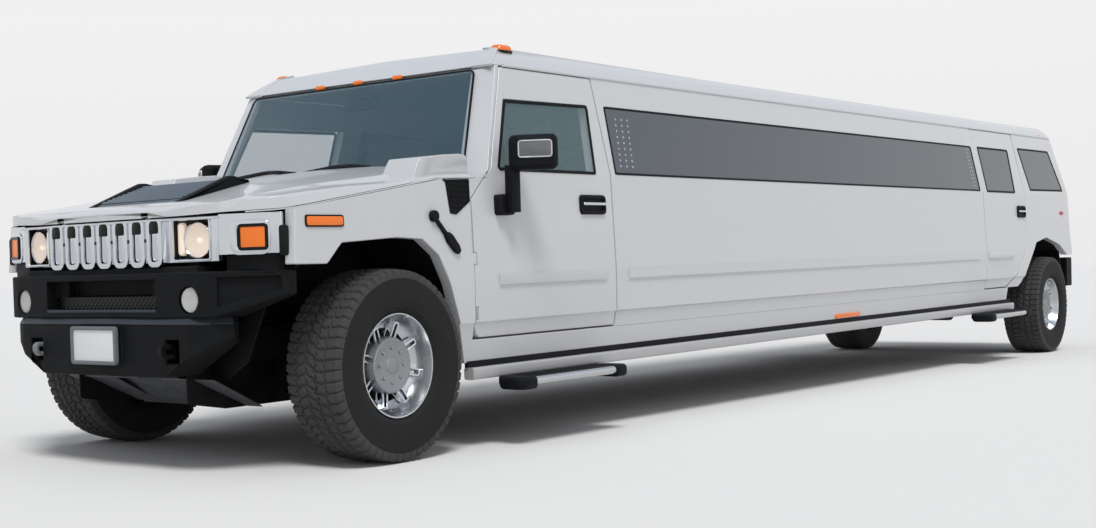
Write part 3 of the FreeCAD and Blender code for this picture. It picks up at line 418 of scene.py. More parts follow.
@dataclass(frozen=True)
class Leather(Finish):
    """Seat leather, tanned and embossed: creases over a fine grain.

    Attributes:
        crease: distance between the creases in metres.
        shade: sRGB hex value of the worn patches.
    """

    crease: float = 0.012
    shade: str = "2a2826"

    def detail(self, tree: Tree, shader: Node, place: Any) -> None:
        """Adds creases and grain as bump and a little colour variation.

        Args:
            tree: the material's nodes.
            shader: its shader.
            place: object coordinates.
        """
        creases = add_node(tree, "ShaderNodeTexVoronoi", {"Scale": 1 / self.crease},
                           {"Vector": place}, feature="DISTANCE_TO_EDGE")
        bump = add_node(tree, "ShaderNodeBump", {"Strength": 0.3, "Distance": 0.0015},
                        {"Height": creases.outputs["Distance"]})
        tree.links.new(bump.outputs[0], shader.inputs["Normal"])
        tone = add_node(tree, "ShaderNodeTexNoise", {"Scale": 1 / 0.3}, {"Vector": place})
        mix = add_node(tree, "ShaderNodeMix", {6: linear(self.colour), 7: linear(self.shade)},
                       {0: tone.outputs["Fac"]}, data_type="RGBA")
        tree.links.new(mix.outputs[2], shader.inputs["Base Color"])


# Enamel over primed steel, sprayed and clear-coated: a hard cool white with a wet gloss.
WHITE = Enamel("white_body_enamel", "d3d4d5", 0.32, coat=0.5)
# The same enamel on the light rails, a shade darker: painted shade, as they sit low below the sill.
RAIL_IN_PAINTED_SHADE = Enamel("white_rail_enamel_painted_shade", "b4b5b7", 0.35, coat=0.4)
# Stamped aluminium under enamel, with no clear coat: flat white.
PLATE_WHITE = Enamel("blank_plate_enamel", "eceded", 0.4)
# Nickel-chrome plate on zinc and ABS: a mirror with a cold cast.
CHROME = Plated("bright_chrome_plate", "d3d6da", 0.05, metallic=1.0, haze=0.07)
# Machined and lacquered aluminium of the wheels: bright, softer than chrome.
WHEEL = Plated("machined_wheel_aluminium", "c9cacb", 0.2, metallic=1.0, haze=0.12)
# Silver paint on the wheels' centres: metallic, but it blurs what it mirrors.
WHEEL_GREY = Plated("painted_wheel_silver", "9a9c9e", 0.36, metallic=0.85, haze=0.15)
# Bowls of the fog lamps, vacuum-coated with aluminium: a soft grey mirror.
NEUTRAL_REFLECTOR = Plated("cold_lamp_reflector", "c9cbcc", 0.25, metallic=0.7)
# Glass-filled polypropylene, moulded with a pebble grain: near black, matt.
BLACK = Moulded("moulded_black_polypropylene", "131415", 0.6, ior=1.22, worn="1f2022", grain=0.005)
# ABS from a polished mould: deep black with a thin sheen.
GLOSS_BLACK = Moulded("gloss_black_abs", "0a0b0c", 0.25, ior=1.3, worn="101112", relief=0.04)
# ABS coloured in the mass: an even mid grey round the plate.
GREY = Moulded("moulded_grey_abs", "6d7073", 0.5, worn="83868a")
# The bumper's polypropylene where it faces up: bluish grey, a painted reflection of the sky.
SKY_SHEEN_LEDGE = Moulded("bumper_ledge_painted_sky_reflection", "32383d", 0.45, ior=1.35, worn="40474c")
# Moulded mesh of the bonnet's intake: grey, with a blue painted reflection of the sky that it
# faces.
VENT_GREY = Moulded("vent_mesh_grey_with_painted_sky", "56616b", 0.4, worn="66717b")
# Vinyl skin foamed on to the cabin's panels: soft, dark grey, without gloss.
CABIN = Moulded("soft_cabin_vinyl", "3a3a3b", 0.6, worn="4b4b4c")
# Vulcanised rubber compound: the walls are washed and dark, the tread is dulled by road dust.
RUBBER = Moulded("vulcanised_tyre_rubber", "262626", 0.7, ior=1.25, worn="2d2d2d", grain=0.003,
                 relief=0.1)
TREAD = Moulded("dusty_tyre_tread", "444443", 0.85, ior=1.35, worn="525250", grain=0.003,
                relief=0.2)
# Drop-forged steel, hot-dip galvanised: pale grey with dull spangles.
TOW_GREY = Cast("galvanised_forging", "9ea1a3", 0.5, metallic=0.6, dirt="6a6c6d")
# Dipped chassis enamel over rolled steel: black, with grime in patches.
CHASSIS = Cast("chassis_black_enamel", "121213", 0.55, ior=1.25, dirt="1e1c1b")
# Powder coat on pressed plate, scoured by gravel: mid grey.
SKID = Cast("skid_plate_grey_enamel", "55575a", 0.5, ior=1.4, dirt="434343")
# Sand-cast iron and forged steel, bare: dark, rough and half metallic.
CAST = Cast("cast_iron_and_steel", "3b3a39", 0.6, metallic=0.5)
# Sand-cast aluminium of the engine, stained by oil: dull grey.
ENGINE = Cast("cast_aluminium_engine", "5a5b5b", 0.55, metallic=0.6)
# Aluminised steel tube, browned by heat.
EXHAUST = Cast("aluminised_exhaust_steel", "6b6762", 0.5, metallic=0.8, dirt="40342b")
# Float glass whose light blue-grey colour is partly its tint and partly painted sky reflection; the
# cabin shows through it.
CLEAR_GLASS = Pane("float_glass_tint_and_sky_sheen", "628a9c", 0.02, ior=2.2, alpha=0.2)
# The front doors' tempered glass: paler, with a green edge to its tint.
SIDE_GLASS = Pane("front_door_glass", "88a8ae", 0.02, ior=1.9, alpha=0.24)
# Privacy glass of the stretch: nearly black in the mass, so it mirrors the surroundings.
DARK_GLASS = Pane("privacy_glass", "1e2e3a", 0.03, ior=2.0, alpha=0.97)
# Clear acrylic, injection-moulded: seen by its gloss alone.
CLEAR_LENS = Finish("clear_acrylic_lens", "f1efe8", 0.05, alpha=0.28)
# Smoked acrylic of the mirror lamps: grey and glossy, with its ribs showing.
SMOKED = Finish("smoked_acrylic_lens", "5d6062", 0.08, ior=1.8)
# Acrylic coloured in the melt, with prisms on its back: it seems to hold its own light.
AMBER = Lens("amber_acrylic_lens", "e8731f", 0.15, glow=0.2)
RED = Lens("red_acrylic_lens", "a3120c", 0.15, glow=0.12)
# Vacuum-coated bowls of the headlamps and their bulbs, warm white; their glow is a painted
# highlight for the warm light that they reflect.
REFLECTOR = Lens("warm_reflector_painted_glow", "f0dccb", 0.2, metallic=0.3, glow=0.42)
BULB = Lens("warm_bulb_painted_glow", "fff0dc", 0.2, glow=0.8)
# Acrylic spots lit from behind by cold diodes.
DOT = Lens("cold_light_dots", "a7b7bd", 0.2, glow=0.1)
# Tanned and embossed hide: near black with soft highlights on its creases.
LEATHER = Leather("black_seat_leather", "1b1a19", 0.5)

FINISH_OF_SLOT: dict[str, Finish] = {
    "white_paint": WHITE, "chrome_trim": CHROME, "polished_rim": WHEEL, "black_plastic": BLACK,
    "grey_plate": GREY, "tow_grey": TOW_GREY, "chassis_black": CHASSIS, "cast_parts": CAST,
    "engine_block": ENGINE, "exhaust_steel": EXHAUST, "tinted_glass": CLEAR_GLASS,
    "dark_glass": DARK_GLASS, "clear_lamp": CLEAR_LENS, "amber_lens": AMBER, "red_lens": RED,
    "tyre_rubber": RUBBER, "seat_leather": LEATHER, "cabin_trim": CABIN, "light_rail": RAIL_IN_PAINTED_SHADE,
}
FINISH_OF_NODE: dict[str, Finish] = {
    "skid_plate": SKID, "door_front_glass_left": SIDE_GLASS, "door_front_glass_right": SIDE_GLASS,
}


def dress_nodes(frame: dict[str, Any]) -> None:
    """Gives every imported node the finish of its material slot.
    """
    slot_of = {entry["node"]: entry["material_slot"] for entry in frame["record"]["subparts"]}
    for name, thing in frame["nodes"].items():
        material = FINISH_OF_NODE.get(name, FINISH_OF_SLOT[slot_of[name]]).build()
        thing.data.materials.clear()
        thing.data.materials.append(material)


# ---- surfaces

class Shell:
    """A surface under construction: points, four-sided faces and many-sided end caps."""

    def __init__(self, points: Array, quads: Array, caps: Sequence[Array] = ()) -> None:
        """Keeps the surface.

        Args:
            points: (n, 3) places.
            quads: (k, 4) point numbers.
            caps: point numbers round each flat end.
        """
        self.points = points.reshape(-1, 3)
        self.quads = quads.reshape(-1, 4)
        self.caps = list(caps)

    def mapped(self, points: Array) -> "Shell":
        """The same faces over other points."""
        return Shell(points, self.quads, self.caps)

    def mirrored(self) -> "Shell":
        """The surface on the vehicle's other side; make_piece turns the faces outward again."""
        return self.mapped(self.points * (-1, 1, 1))

    def moved(self, x: float, y: float, z: float) -> "Shell":
        """The surface moved along the three axes."""
        return self.mapped(self.points + (x, y, z))


def surface(points: Array, wrap_rows: bool = False, wrap_columns: bool = True,
            capped: bool = False) -> Shell:
    """Faces between neighbours of a grid, which is a function of two parameters.

    Args:
        points: (rows, columns, 3) places.
        wrap_rows: the last row joins the first.
        wrap_columns: the last column joins the first.
        capped: the first and last row are closed by a flat face.
    Returns:
        The surface.
    """
    rows, columns = points.shape[:2]
    number = np.arange(rows * columns).reshape(rows, columns)
    if wrap_rows:
        number = np.concatenate((number, number[:1]))
    if wrap_columns:
        number = np.concatenate((number, number[:, :1]), axis=1)
    quads = np.stack((number[:-1, :-1], number[:-1, 1:], number[1:, 1:], number[1:, :-1]), axis=-1)
    caps = [number[0, :columns], number[-1, :columns]] if capped else []
    return Shell(points, quads, caps)


def rounded_outline(corners: Sequence[Pair], radius: float | Sequence[float],
                    steps: int = 5) -> Array:
    """Closed outline with an arc at each corner.

    Each arc is tangent to both sides: its centre lies on the corner's bisector at the radius over
    the sine of the half angle, and its points turn evenly from one side's normal to the other's.

    Args:
        corners: the polygon's corners.
        radius: of all corners, or one for each.
        steps: points of each arc.
    Returns:
        (n, 2) points.
    """
    ring = np.asarray(corners, float)
    radii = np.broadcast_to(np.asarray(radius, float), (len(ring),))
    back = np.roll(ring, 1, axis=0) - ring
    ahead = np.roll(ring, -1, axis=0) - ring
    back /= np.linalg.norm(back, axis=1, keepdims=True)
    ahead /= np.linalg.norm(ahead, axis=1, keepdims=True)
    half = np.arccos(np.clip((back * ahead).sum(axis=1), -1, 1)) / 2
    middle = back + ahead
    middle /= np.linalg.norm(middle, axis=1, keepdims=True)
    centre = ring + middle * (radii / np.sin(half))[:, None]
    first = ring + back * (radii / np.tan(half))[:, None] - centre
    last = ring + ahead * (radii / np.tan(half))[:, None] - centre
    start = np.arctan2(first[:, 1], first[:, 0])
    turn = (np.arctan2(last[:, 1], last[:, 0]) - start + math.pi) % (2 * math.pi) - math.pi
    angle = start[:, None] + turn[:, None] * np.linspace(0, 1, steps)[None, :]
    arc = np.stack((np.cos(angle), np.sin(angle)), axis=-1) * radii[:, None, None]
    return (centre[:, None, :] + arc).reshape(-1, 2)


def tablet(width: float, height: float, radius: float | Sequence[float], steps: int = 5) -> Array:
    """Rectangle about the origin with rounded corners.

    Args:
        width: along the first axis.
        height: along the second.
        radius: of all corners, or one for each from the lower left round.
        steps: points of each arc.
    Returns:
        (n, 2) points.
    """
    x, y = width / 2, height / 2
    return rounded_outline([(-x, -y), (x, -y), (x, y), (-x, y)], radius, steps)


def circle(radius: float, steps: int = 32) -> Array:
    """Points round a circle about the origin."""
    angle = np.linspace(0, 2 * math.pi, steps, endpoint=False)
    return radius * np.stack((np.cos(angle), np.sin(angle)), axis=-1)


def joined(*shells: Shell) -> tuple[Array, Array, list[Array]]:
    """Lists several shells as one, each shell's faces counted on from the one before.

    Args:
        shells: the surfaces.
    Returns:
        Points, faces and caps, as Shell takes them.
    """
    starts = np.cumsum([0] + [len(shell.points) for shell in shells[:-1]])
    return (np.concatenate([shell.points for shell in shells]),
            np.concatenate([shell.quads + start for shell, start in zip(shells, starts)]),
            [cap + start for shell, start in zip(shells, starts) for cap in shell.caps])


def shrunk(outline: Array, inset: float) -> Array:
    """Moves an outline inwards: each point goes along the bisector of its two sides' normals.

    Args:
        outline: (n, 2) points of a closed line.
        inset: how far each side goes.
    Returns:
        (n, 2) points.
    """
    ahead = np.roll(outline, -1, axis=0) - outline
    behind = outline - np.roll(outline, 1, axis=0)
    normals = [np.stack((-side[:, 1], side[:, 0]), axis=-1)
               / np.maximum(np.linalg.norm(side, axis=1, keepdims=True), 1e-9)
               for side in (ahead, behind)]
    middle = normals[0] + normals[1]
    middle /= np.maximum((middle * normals[0]).sum(axis=1, keepdims=True), 0.5)
    x, y = outline.T
    area = (x * np.roll(y, -1) - y * np.roll(x, -1)).sum()
    return outline + middle * inset * np.sign(area)


def slab(outline: Array, low: float, high: float, rim: float = 0.0, steps: int = 4,
         both_rims: bool = False) -> Shell:
    """Solid between two heights over an outline, with a quarter-round rim.

    Rows are the outline at each height; over the rim the inset is rim (1 - cos t) and the height
    rises with rim sin t, for t from 0 to a right angle.

    Args:
        outline: (n, 2) points.
        low: height of the back.
        high: height of the front.
        rim: radius of the rim at the front.
        steps: rows over the rim.
        both_rims: the back has a rim as well.
    Returns:
        The closed surface, its height as the third coordinate.
    """
    bend = np.linspace(0, math.pi / 2, steps) if rim else np.zeros(1)
    insets, heights = rim * (1 - np.cos(bend)), high - rim + rim * np.sin(bend)
    if both_rims:
        insets = np.concatenate((insets[::-1], insets))
        heights = np.concatenate(((low + high - heights)[::-1], heights))
    else:
        insets = np.concatenate(((0.0,), insets))
        heights = np.concatenate(((low,), heights))
    rows = [np.column_stack((shrunk(outline, inset), np.full(len(outline), height)))
            for inset, height in zip(insets, heights)]
    return surface(np.stack(rows), capped=True)


def frame_strip(outline: Array, width: float, low: float, high: float, rim: float) -> Shell:
    """Closed strip that runs round an outline, such as a seal or a bezel.

    Its section is a low arch: width across, from low to high, with rounded shoulders.

    Args:
        outline: (n, 2) outer edge.
        width: how far it reaches inwards.
        low: height of its back.
        high: height of its crown.
        rim: radius of its shoulders.
    Returns:
        The closed surface.
    """
    bend = np.linspace(0, math.pi / 2, 3)
    inward, rise = rim * (1 - np.cos(bend)), high - rim + rim * np.sin(bend)
    across = np.concatenate(((0.0,), inward, width - inward[::-1], (width,)))
    height = np.concatenate(((low,), rise, rise[::-1], (low,)))
    rows = [np.column_stack((shrunk(outline, a), np.full(len(outline), h)))
            for a, h in zip(across, height)]
    return surface(np.stack(rows), wrap_rows=True)


def turned(profile: Array, steps: int = 96, closed: bool = False) -> Shell:
    """Surface of revolution about X: each profile point (x, r) goes round a circle of radius r.

    Args:
        profile: (n, 2) points x, r; an end at r = 0 closes the surface.
        steps: points round.
        closed: the profile's last point joins its first.
    Returns:
        The surface about the origin.
    """
    profile = np.asarray(profile, float)
    angle = np.linspace(0, 2 * math.pi, steps, endpoint=False)
    x = np.broadcast_to(profile[:, :1], (len(profile), steps))
    y = profile[:, 1:] * np.sin(angle)
    z = profile[:, 1:] * np.cos(angle)
    return surface(np.stack((x, y, z), axis=-1), wrap_rows=closed)


def swept(path: Array, section: Array, upward: Sequence[float] = (0.0, 0.0, 1.0)) -> Shell:
    """Section carried along a path.

    At each path point the section's first axis is the path's direction crossed with upward, and
    its second is square to both.

    Args:
        path: (n, 3) points.
        section: (k, 2) closed outline.
        upward: a direction that the path never runs along.
    Returns:
        The closed surface with flat ends.
    """
    path = np.asarray(path, float)
    along = np.gradient(path, axis=0)
    along /= np.linalg.norm(along, axis=1, keepdims=True)
    across = np.cross(along, np.asarray(upward, float))
    across /= np.linalg.norm(across, axis=1, keepdims=True)
    over = np.cross(across, along)
    points = (path[:, None, :] + across[:, None, :] * section[None, :, :1]
              + over[:, None, :] * section[None, :, 1:])
    return surface(points, capped=True)


def smooth_path(points: Sequence[Sequence[float]], steps: int = 24) -> Array:
    """Cubic path through points: each coordinate is a Catmull-Rom blend of four neighbours.

    Args:
        points: the places that it passes.
        steps: points in all.
    Returns:
        (steps, 3) points.
    """
    knots = np.asarray(points, float)
    knots = np.concatenate((2 * knots[:1] - knots[1:2], knots, 2 * knots[-1:] - knots[-2:-1]))
    place = np.linspace(0, len(knots) - 3 - 1e-9, steps)
    index = place.astype(int)
    t = (place - index)[:, None]
    a, b, c, d = (knots[index + k] for k in range(4))
    return 0.5 * (2 * b + (c - a) * t + (2 * a - 5 * b + 4 * c - d) * t ** 2
                  + (3 * b - a - 3 * c + d) * t ** 3)


@dataclass(frozen=True)
class Seat:
    """Where a flat-built shell sits on the body.

    Attributes:
        origin: millimetres on the body.
        across: direction of the shell's first axis.
        up: direction of its second axis; the third is across x up.
    """

    origin: Place
    across: Place
    up: Place

    def put(self, shell: Shell) -> Shell:
        """Moves a shell from its own axes to the body.

        Args:
            shell: a surface about the seat's origin.
        Returns:
            The surface in body millimetres.
        """
        across = np.asarray(self.across, float) / np.linalg.norm(self.across)
        up = np.asarray(self.up, float) / np.linalg.norm(self.up)
        axes = np.stack((across, up, np.cross(across, up)))
        return shell.mapped(shell.points @ axes + np.asarray(self.origin, float))


SKIN_Z = (405.0, 592.0, 601.0, 830.0, 1325.0, 1858.0)        # heights of the side skin's creases
SKIN_X = (975.0, 1008.0, 1018.0, 1020.0, 1000.0, 888.0)      # half width of the body at each


def side_seat(y: float, z: float, proud: float = 0.0) -> Seat:
    """Seat on the left side skin: first axis rearward, second up the skin, third outward.

    Args:
        y: station in millimetres.
        z: height in millimetres.
        proud: distance outside the skin.
    Returns:
        The seat.
    """
    x = float(np.interp(z, SKIN_Z, SKIN_X))
    lean = (np.interp(z + 5, SKIN_Z, SKIN_X) - np.interp(z - 5, SKIN_Z, SKIN_X)) / 10
    return Seat((x + proud, y, z), (0, 1, 0), (float(lean), 0, 1))


def front_seat(x: float, y: float, z: float, sweep: float = 0.0) -> Seat:
    """Seat on a forward face: first axis to the left, second up, third ahead.

    Args:
        x: millimetres left of the middle.
        y: station in millimetres.
        z: height in millimetres.
        sweep: degrees that the face's left end is turned rearward.
    Returns:
        The seat.
    """
    turn = math.radians(sweep)
    return Seat((x, y, z), (math.cos(turn), math.sin(turn), 0), (0, 0, 1))


def on_body(*shells: Shell) -> list[Shell]:
    """Shells in body millimetres turned into the row frame's metres."""
    return [shell.mapped(body_points(shell.points)) for shell in shells]


def in_pairs(*shells: Shell) -> list[Shell]:
    """Left shells in body millimetres and their mirror images, in the row frame's metres."""
    return on_body(*shells, *[shell.mirrored() for shell in shells])


def make_piece(name: str, shells: Sequence[Shell], finish: Finish,
               body: Body = Body.VEHICLE, replaces: Sequence[str] = (),
               crease: float = 32.0) -> bpy.types.Object:
    """Joins shells into one mesh, turns its faces outward and lets it ride on a body.

    Args:
        name: the piece's name.
        shells: surfaces in the row frame's metres.
        finish: its finish.
        body: the body that carries it.
        replaces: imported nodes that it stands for.
        crease: faces that meet at more degrees than this keep a sharp edge.
    Returns:
        The new object.
    """
    points, quads, caps = joined(*shells)
    faces = quads.tolist() + [cap.tolist() for cap in caps]
    mesh = bpy.data.meshes.new(name)
    mesh.from_pydata(points.tolist(), [], faces)
    close_up(mesh)
    mesh.materials.append(finish.build())
    thing = bpy.data.objects.new(name, mesh)
    bpy.context.scene.collection.objects.link(thing)
    mesh.polygons.foreach_set("use_smooth", np.ones(len(mesh.polygons), bool))
    mesh.set_sharp_from_angle(angle=math.radians(crease))
    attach(thing, body.value)
    if replaces:
        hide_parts(*replaces)
    log.info("%s: %d faces on %s", name, len(mesh.polygons), body.value)
    return thing


def close_up(mesh: bpy.types.Mesh, reach: float = SEAM) -> None:
    """Merges points that meet at seams and poles, and turns the faces outward.

    Args:
        mesh: the mesh to change.
        reach: points nearer than this are one, in metres.
    """
    work = bmesh.new()
    work.from_mesh(mesh)
    bmesh.ops.remove_doubles(work, verts=work.verts, dist=reach)
    bmesh.ops.recalc_face_normals(work, faces=work.faces)
    work.to_mesh(mesh)
    work.free()


# ---- camera, floor and light

@dataclass(frozen=True)
class SoftLamp:
    """A far lamp behind a wide diffuser.

    Attributes:
        name: the lamp's name.
        strength: its power on a surface square to it.
        spread: its apparent width in degrees.
        toward: direction from the object to the lamp.
    """

    name: str
    strength: float
    spread: float
    toward: Place

    def build(self) -> None:
        """Adds the lamp to the scene."""
        data = bpy.data.lights.new(self.name, "SUN")
        data.energy = self.strength
        data.angle = math.radians(self.spread)
        lamp = bpy.data.objects.new(self.name, data)
        lamp.rotation_euler = Vector(self.toward).to_track_quat("Z", "Y").to_euler()
        bpy.context.scene.collection.objects.link(lamp)


@dataclass
class Studio:
    """Camera, pale floor and soft light.

    Attributes:
        eye: the camera's place in metres.
        azimuth: degrees that it looks to the left of +Y.
        pitch: degrees that it looks down.
        roll: degrees that it is turned about its own axis.
        lens: focal length in millimetres.
        sensor: width of the camera's frame in millimetres.
        shift: sideways and upward shift of the frame.
        floor_size: length of the floor's sides in metres.
        floor_tones: colours that the eye sees near the object and far away.
        floor_fade: distances in metres between which the first turns into the second.
        floor_colour: its colour to everything but the eye.
        sky_tones: height and colour of the sky that eye and gloss see.
        daylight: colour of the dim light all round.
        daylight_strength: its strength.
        lamps: the two softboxes.
    """

    eye: Place = (5.3529, -9.4477, 0.8391)
    azimuth: float = 40.082
    pitch: float = 1.2212
    roll: float = -1.3132
    lens: float = 48.38
    sensor: float = 36.0
    shift: Pair = (0.1046, 0.0376)
    floor_size: float = 400.0
    floor_tones: tuple[str, str] = ("f4f4f2", "f5f5f5")
    floor_fade: Pair = (6.0, 60.0)
    floor_colour: str = "e6e6e6"
    sky_tones: tuple[tuple[float, str], ...] = ((0.0, "ebebeb"), (0.17, "f1f1f1"), (0.75, "b6c8e0"))
    daylight: str = "f6f8ff"
    daylight_strength: float = 0.42
    lamps: tuple[SoftLamp, ...] = (
        SoftLamp("key_softbox", 1.75, 18.0, (0.42, -0.42, 1.0)),
        SoftLamp("side_softbox", 0.22, 70.0, (0.9, -0.3, 0.12)))

    def camera(self) -> None:
        """Creates the camera from its eye, azimuth, pitch and roll."""
        azimuth, pitch, roll = (math.radians(a) for a in (self.azimuth, self.pitch, self.roll))
        forward = Vector((-math.sin(azimuth) * math.cos(pitch),
                          math.cos(azimuth) * math.cos(pitch), -math.sin(pitch)))
        right = Vector((math.cos(azimuth), math.sin(azimuth), 0))
        up = right.cross(forward)
        side = math.cos(roll) * right + math.sin(roll) * up
        top = -math.sin(roll) * right + math.cos(roll) * up
        turn = Matrix((side, top, -forward)).transposed()
        data = bpy.data.cameras.new("camera")
        data.lens = self.lens
        data.sensor_width = self.sensor
        data.shift_x, data.shift_y = self.shift
        data.clip_end = 1000.0
        camera = bpy.data.objects.new("camera", data)
        camera.matrix_world = Matrix.Translation(self.eye) @ turn.to_4x4()
        bpy.context.scene.collection.objects.link(camera)
        bpy.context.scene.camera = camera

    def floor(self) -> None:
        """Lays a pale floor out to the horizon; it is a shade lighter far away."""
        half = self.floor_size / 2
        mesh = bpy.data.meshes.new("floor")
        mesh.from_pydata([(-half, -half, 0), (half, -half, 0), (half, half, 0), (-half, half, 0)],
                         [], [(0, 1, 2, 3)])
        floor = bpy.data.objects.new("floor", mesh)
        bpy.context.scene.collection.objects.link(floor)
        material = bpy.data.materials.new("studio_floor_paper")
        material.use_nodes = True
        tree = material.node_tree
        tree.nodes.clear()
        place = add_node(tree, "ShaderNodeTexCoord").outputs["Object"]
        reach = add_node(tree, "ShaderNodeVectorMath", links={0: place}, operation="LENGTH")
        near, far = self.floor_fade
        fade = add_node(tree, "ShaderNodeMapRange", {"From Min": near, "From Max": far},
                        {"Value": reach.outputs["Value"]}, interpolation_type="SMOOTHSTEP")
        low, high = (linear(tone) for tone in self.floor_tones)
        tone = add_node(tree, "ShaderNodeMix", {6: low, 7: high}, {0: fade.outputs[0]},
                        data_type="RGBA")
        seen = add_node(tree, "ShaderNodeLightPath").outputs["Is Camera Ray"]
        shown = add_node(tree, "ShaderNodeMix", {6: linear(self.floor_colour)},
                         {0: seen, 7: tone.outputs[2]}, data_type="RGBA")
        paper = add_node(tree, "ShaderNodeBsdfDiffuse", links={"Color": shown.outputs[2]})
        add_node(tree, "ShaderNodeOutputMaterial", links={"Surface": paper.outputs[0]})
        mesh.materials.append(material)

    def sky(self) -> None:
        """Makes the world: dim light all round, shown pale to the eye, to metal and to glass."""
        world = bpy.data.worlds.new("studio")
        bpy.context.scene.world = world
        world.use_nodes = True
        tree = world.node_tree
        tree.nodes.clear()
        direction = add_node(tree, "ShaderNodeTexCoord").outputs["Generated"]
        height = add_node(tree, "ShaderNodeSeparateXYZ", links={0: direction}).outputs["Z"]
        shown = add_node(tree, "ShaderNodeValToRGB", links={"Fac": height})
        stops = shown.color_ramp.elements
        while len(stops) < len(self.sky_tones):
            stops.new(0.5)
        for stop, (place, tone) in zip(stops, self.sky_tones):
            stop.position, stop.color = place, linear(tone)
        rays = add_node(tree, "ShaderNodeLightPath").outputs
        seen = add_node(tree, "ShaderNodeMath", links={
            0: rays["Is Camera Ray"], 1: rays["Is Glossy Ray"]}, operation="MAXIMUM")
        seen = add_node(tree, "ShaderNodeMath", links={
            0: seen.outputs[0], 1: rays["Is Transmission Ray"]}, operation="MAXIMUM")
        light = add_node(tree, "ShaderNodeBackground", {
            "Color": linear(self.daylight), "Strength": self.daylight_strength})
        backdrop = add_node(tree, "ShaderNodeBackground", {"Strength": 1.0},
                            {"Color": shown.outputs[0]})
        mix = add_node(tree, "ShaderNodeMixShader", links={
            0: seen.outputs[0], 1: light.outputs[0], 2: backdrop.outputs[0]})
        add_node(tree, "ShaderNodeOutputWorld", links={0: mix.outputs[0]})

    def build(self) -> None:
        """Makes camera, floor, world and lamps."""
        bpy.context.scene.view_settings.view_transform = "Standard"
        self.camera()
        self.floor()
        self.sky()
        for lamp in self.lamps:
            lamp.build()


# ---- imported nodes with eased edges

@dataclass(frozen=True)
class Eased:
    """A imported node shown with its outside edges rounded, as pressed or moulded parts have them.

    Attributes:
        node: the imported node, which the new piece replaces.
        slot: its material slot.
        body: the body that carries it.
        radius: half the width that the rounding takes, in millimetres.
        least: only edges that turn by more degrees than this are rounded.
        shut: a downward (-1) or upward (1) face beside a shut line, whose edges stay sharp.
        sweep: millimetres that the forward face's outer edges are swept rearward.
        sweep_x: half width past which an edge is an outer one, at the height sweep_z.
        sweep_z: that height.
        sweep_lean: how much less the half width is for each millimetre above it.
        sweep_reach: how far an outer edge may lie from the forward face's plane.
    """

    node: str
    slot: str
    body: Body = Body.VEHICLE
    radius: float = 5.0
    least: float = 24.0
    shut: int = 0
    sweep: float = 0.0
    sweep_x: ClassVar[float] = 880.0
    sweep_z: ClassVar[float] = 1370.0
    sweep_lean: ClassVar[float] = 0.15
    sweep_reach: ClassVar[float] = 6.0

    def swept_back(self, work: bmesh.types.BMesh) -> None:
        """Moves the outer edges of the forward face rearward; the inner edges stay.

        Args:
            work: the mesh to change.
        """
        places = unraked(np.array([vert.co for vert in work.verts]))
        plane = Screen.low[0] + (places[:, 2] - Screen.low[1]) * Screen.slope()
        inside = self.sweep_x - (places[:, 2] - self.sweep_z) * self.sweep_lean
        outer = np.abs(places[:, 0]) > inside
        near = np.abs(places[:, 1] - plane) < self.sweep_reach
        for number in np.flatnonzero(outer & near):
            places[number, 1] += self.sweep
        for vert, place in zip(work.verts, body_points(places)):
            vert.co = place

    def build(self, nodes: dict[str, bpy.types.Object]) -> bpy.types.Object:
        """Copies the node's mesh, joins its triangles into flat faces and rounds its edges.

        Args:
            nodes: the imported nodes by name.
        Returns:
            The new piece.
        """
        name = self.node + "_skin"
        mesh = nodes[self.node].data.copy()
        mesh.name = name
        work = bmesh.new()
        work.from_mesh(mesh)
        bmesh.ops.remove_doubles(work, verts=work.verts, dist=PACKED_SEAM)
        bmesh.ops.dissolve_limit(work, angle_limit=FLAT_TURN, verts=work.verts,
                                 edges=work.edges, use_dissolve_boundaries=False)
        if self.sweep:
            self.swept_back(work)
        turning = [edge for edge in work.edges if edge.is_manifold
                   and edge.calc_face_angle(0.0) > math.radians(self.least)
                   and not (self.shut and any(face.normal.z * self.shut > SHUT_TILT
                                              for face in edge.link_faces))]
        fine = {vert for edge in turning
                if edge.calc_length() < SHORT_EDGE * self.radius * MM for vert in edge.verts}
        sharp = [edge for edge in turning if not fine.intersection(edge.verts)]
        bmesh.ops.bevel(work, geom=sharp, offset=self.radius * MM, offset_type="OFFSET",
                        segments=EASED_STEPS, profile=0.5, affect="EDGES", clamp_overlap=False)
        work.to_mesh(mesh)
        work.free()
        mesh.polygons.foreach_set("use_smooth", np.ones(len(mesh.polygons), bool))
        mesh.set_sharp_from_angle(angle=SMOOTH_TURN)
        thing = bpy.data.objects.new(name, mesh)
        bpy.context.scene.collection.objects.link(thing)
        weighted = thing.modifiers.new("weighted", "WEIGHTED_NORMAL")
        weighted.keep_sharp = True
        mesh.materials.clear()
        mesh.materials.append(FINISH_OF_SLOT[self.slot].build())
        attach(thing, self.body.value)
        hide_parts(self.node)
        log.info("%s: %d faces", name, len(mesh.polygons))
        return thing


EASED = (
    Eased("bonnet", "white_paint", Body.BONNET, 5.0, 24.0, shut=-1),
    Eased("fenders", "white_paint", radius=6.0, shut=1),
    Eased("roof", "white_paint", radius=12.0, least=15.0),
    Eased("windscreen_frame", "white_paint", radius=3.0, sweep=38.0),
    Eased("quarter_panels", "white_paint"),
    Eased("sills", "white_paint"),
    Eased("door_front_left", "white_paint", Body.DOOR_FRONT_LEFT),
    Eased("door_front_right", "white_paint", Body.DOOR_FRONT_RIGHT),
    Eased("door_rear_left", "white_paint", Body.DOOR_REAR_LEFT),
    Eased("door_rear_right", "white_paint", Body.DOOR_REAR_RIGHT),
    Eased("tailgate", "white_paint", Body.TAILGATE),
    Eased("front_bumper", "black_plastic", radius=7.0),
    Eased("rear_bumper", "black_plastic", radius=8.0),
    Eased("grille", "chrome_trim", radius=3.0),
)


# ---- wheels

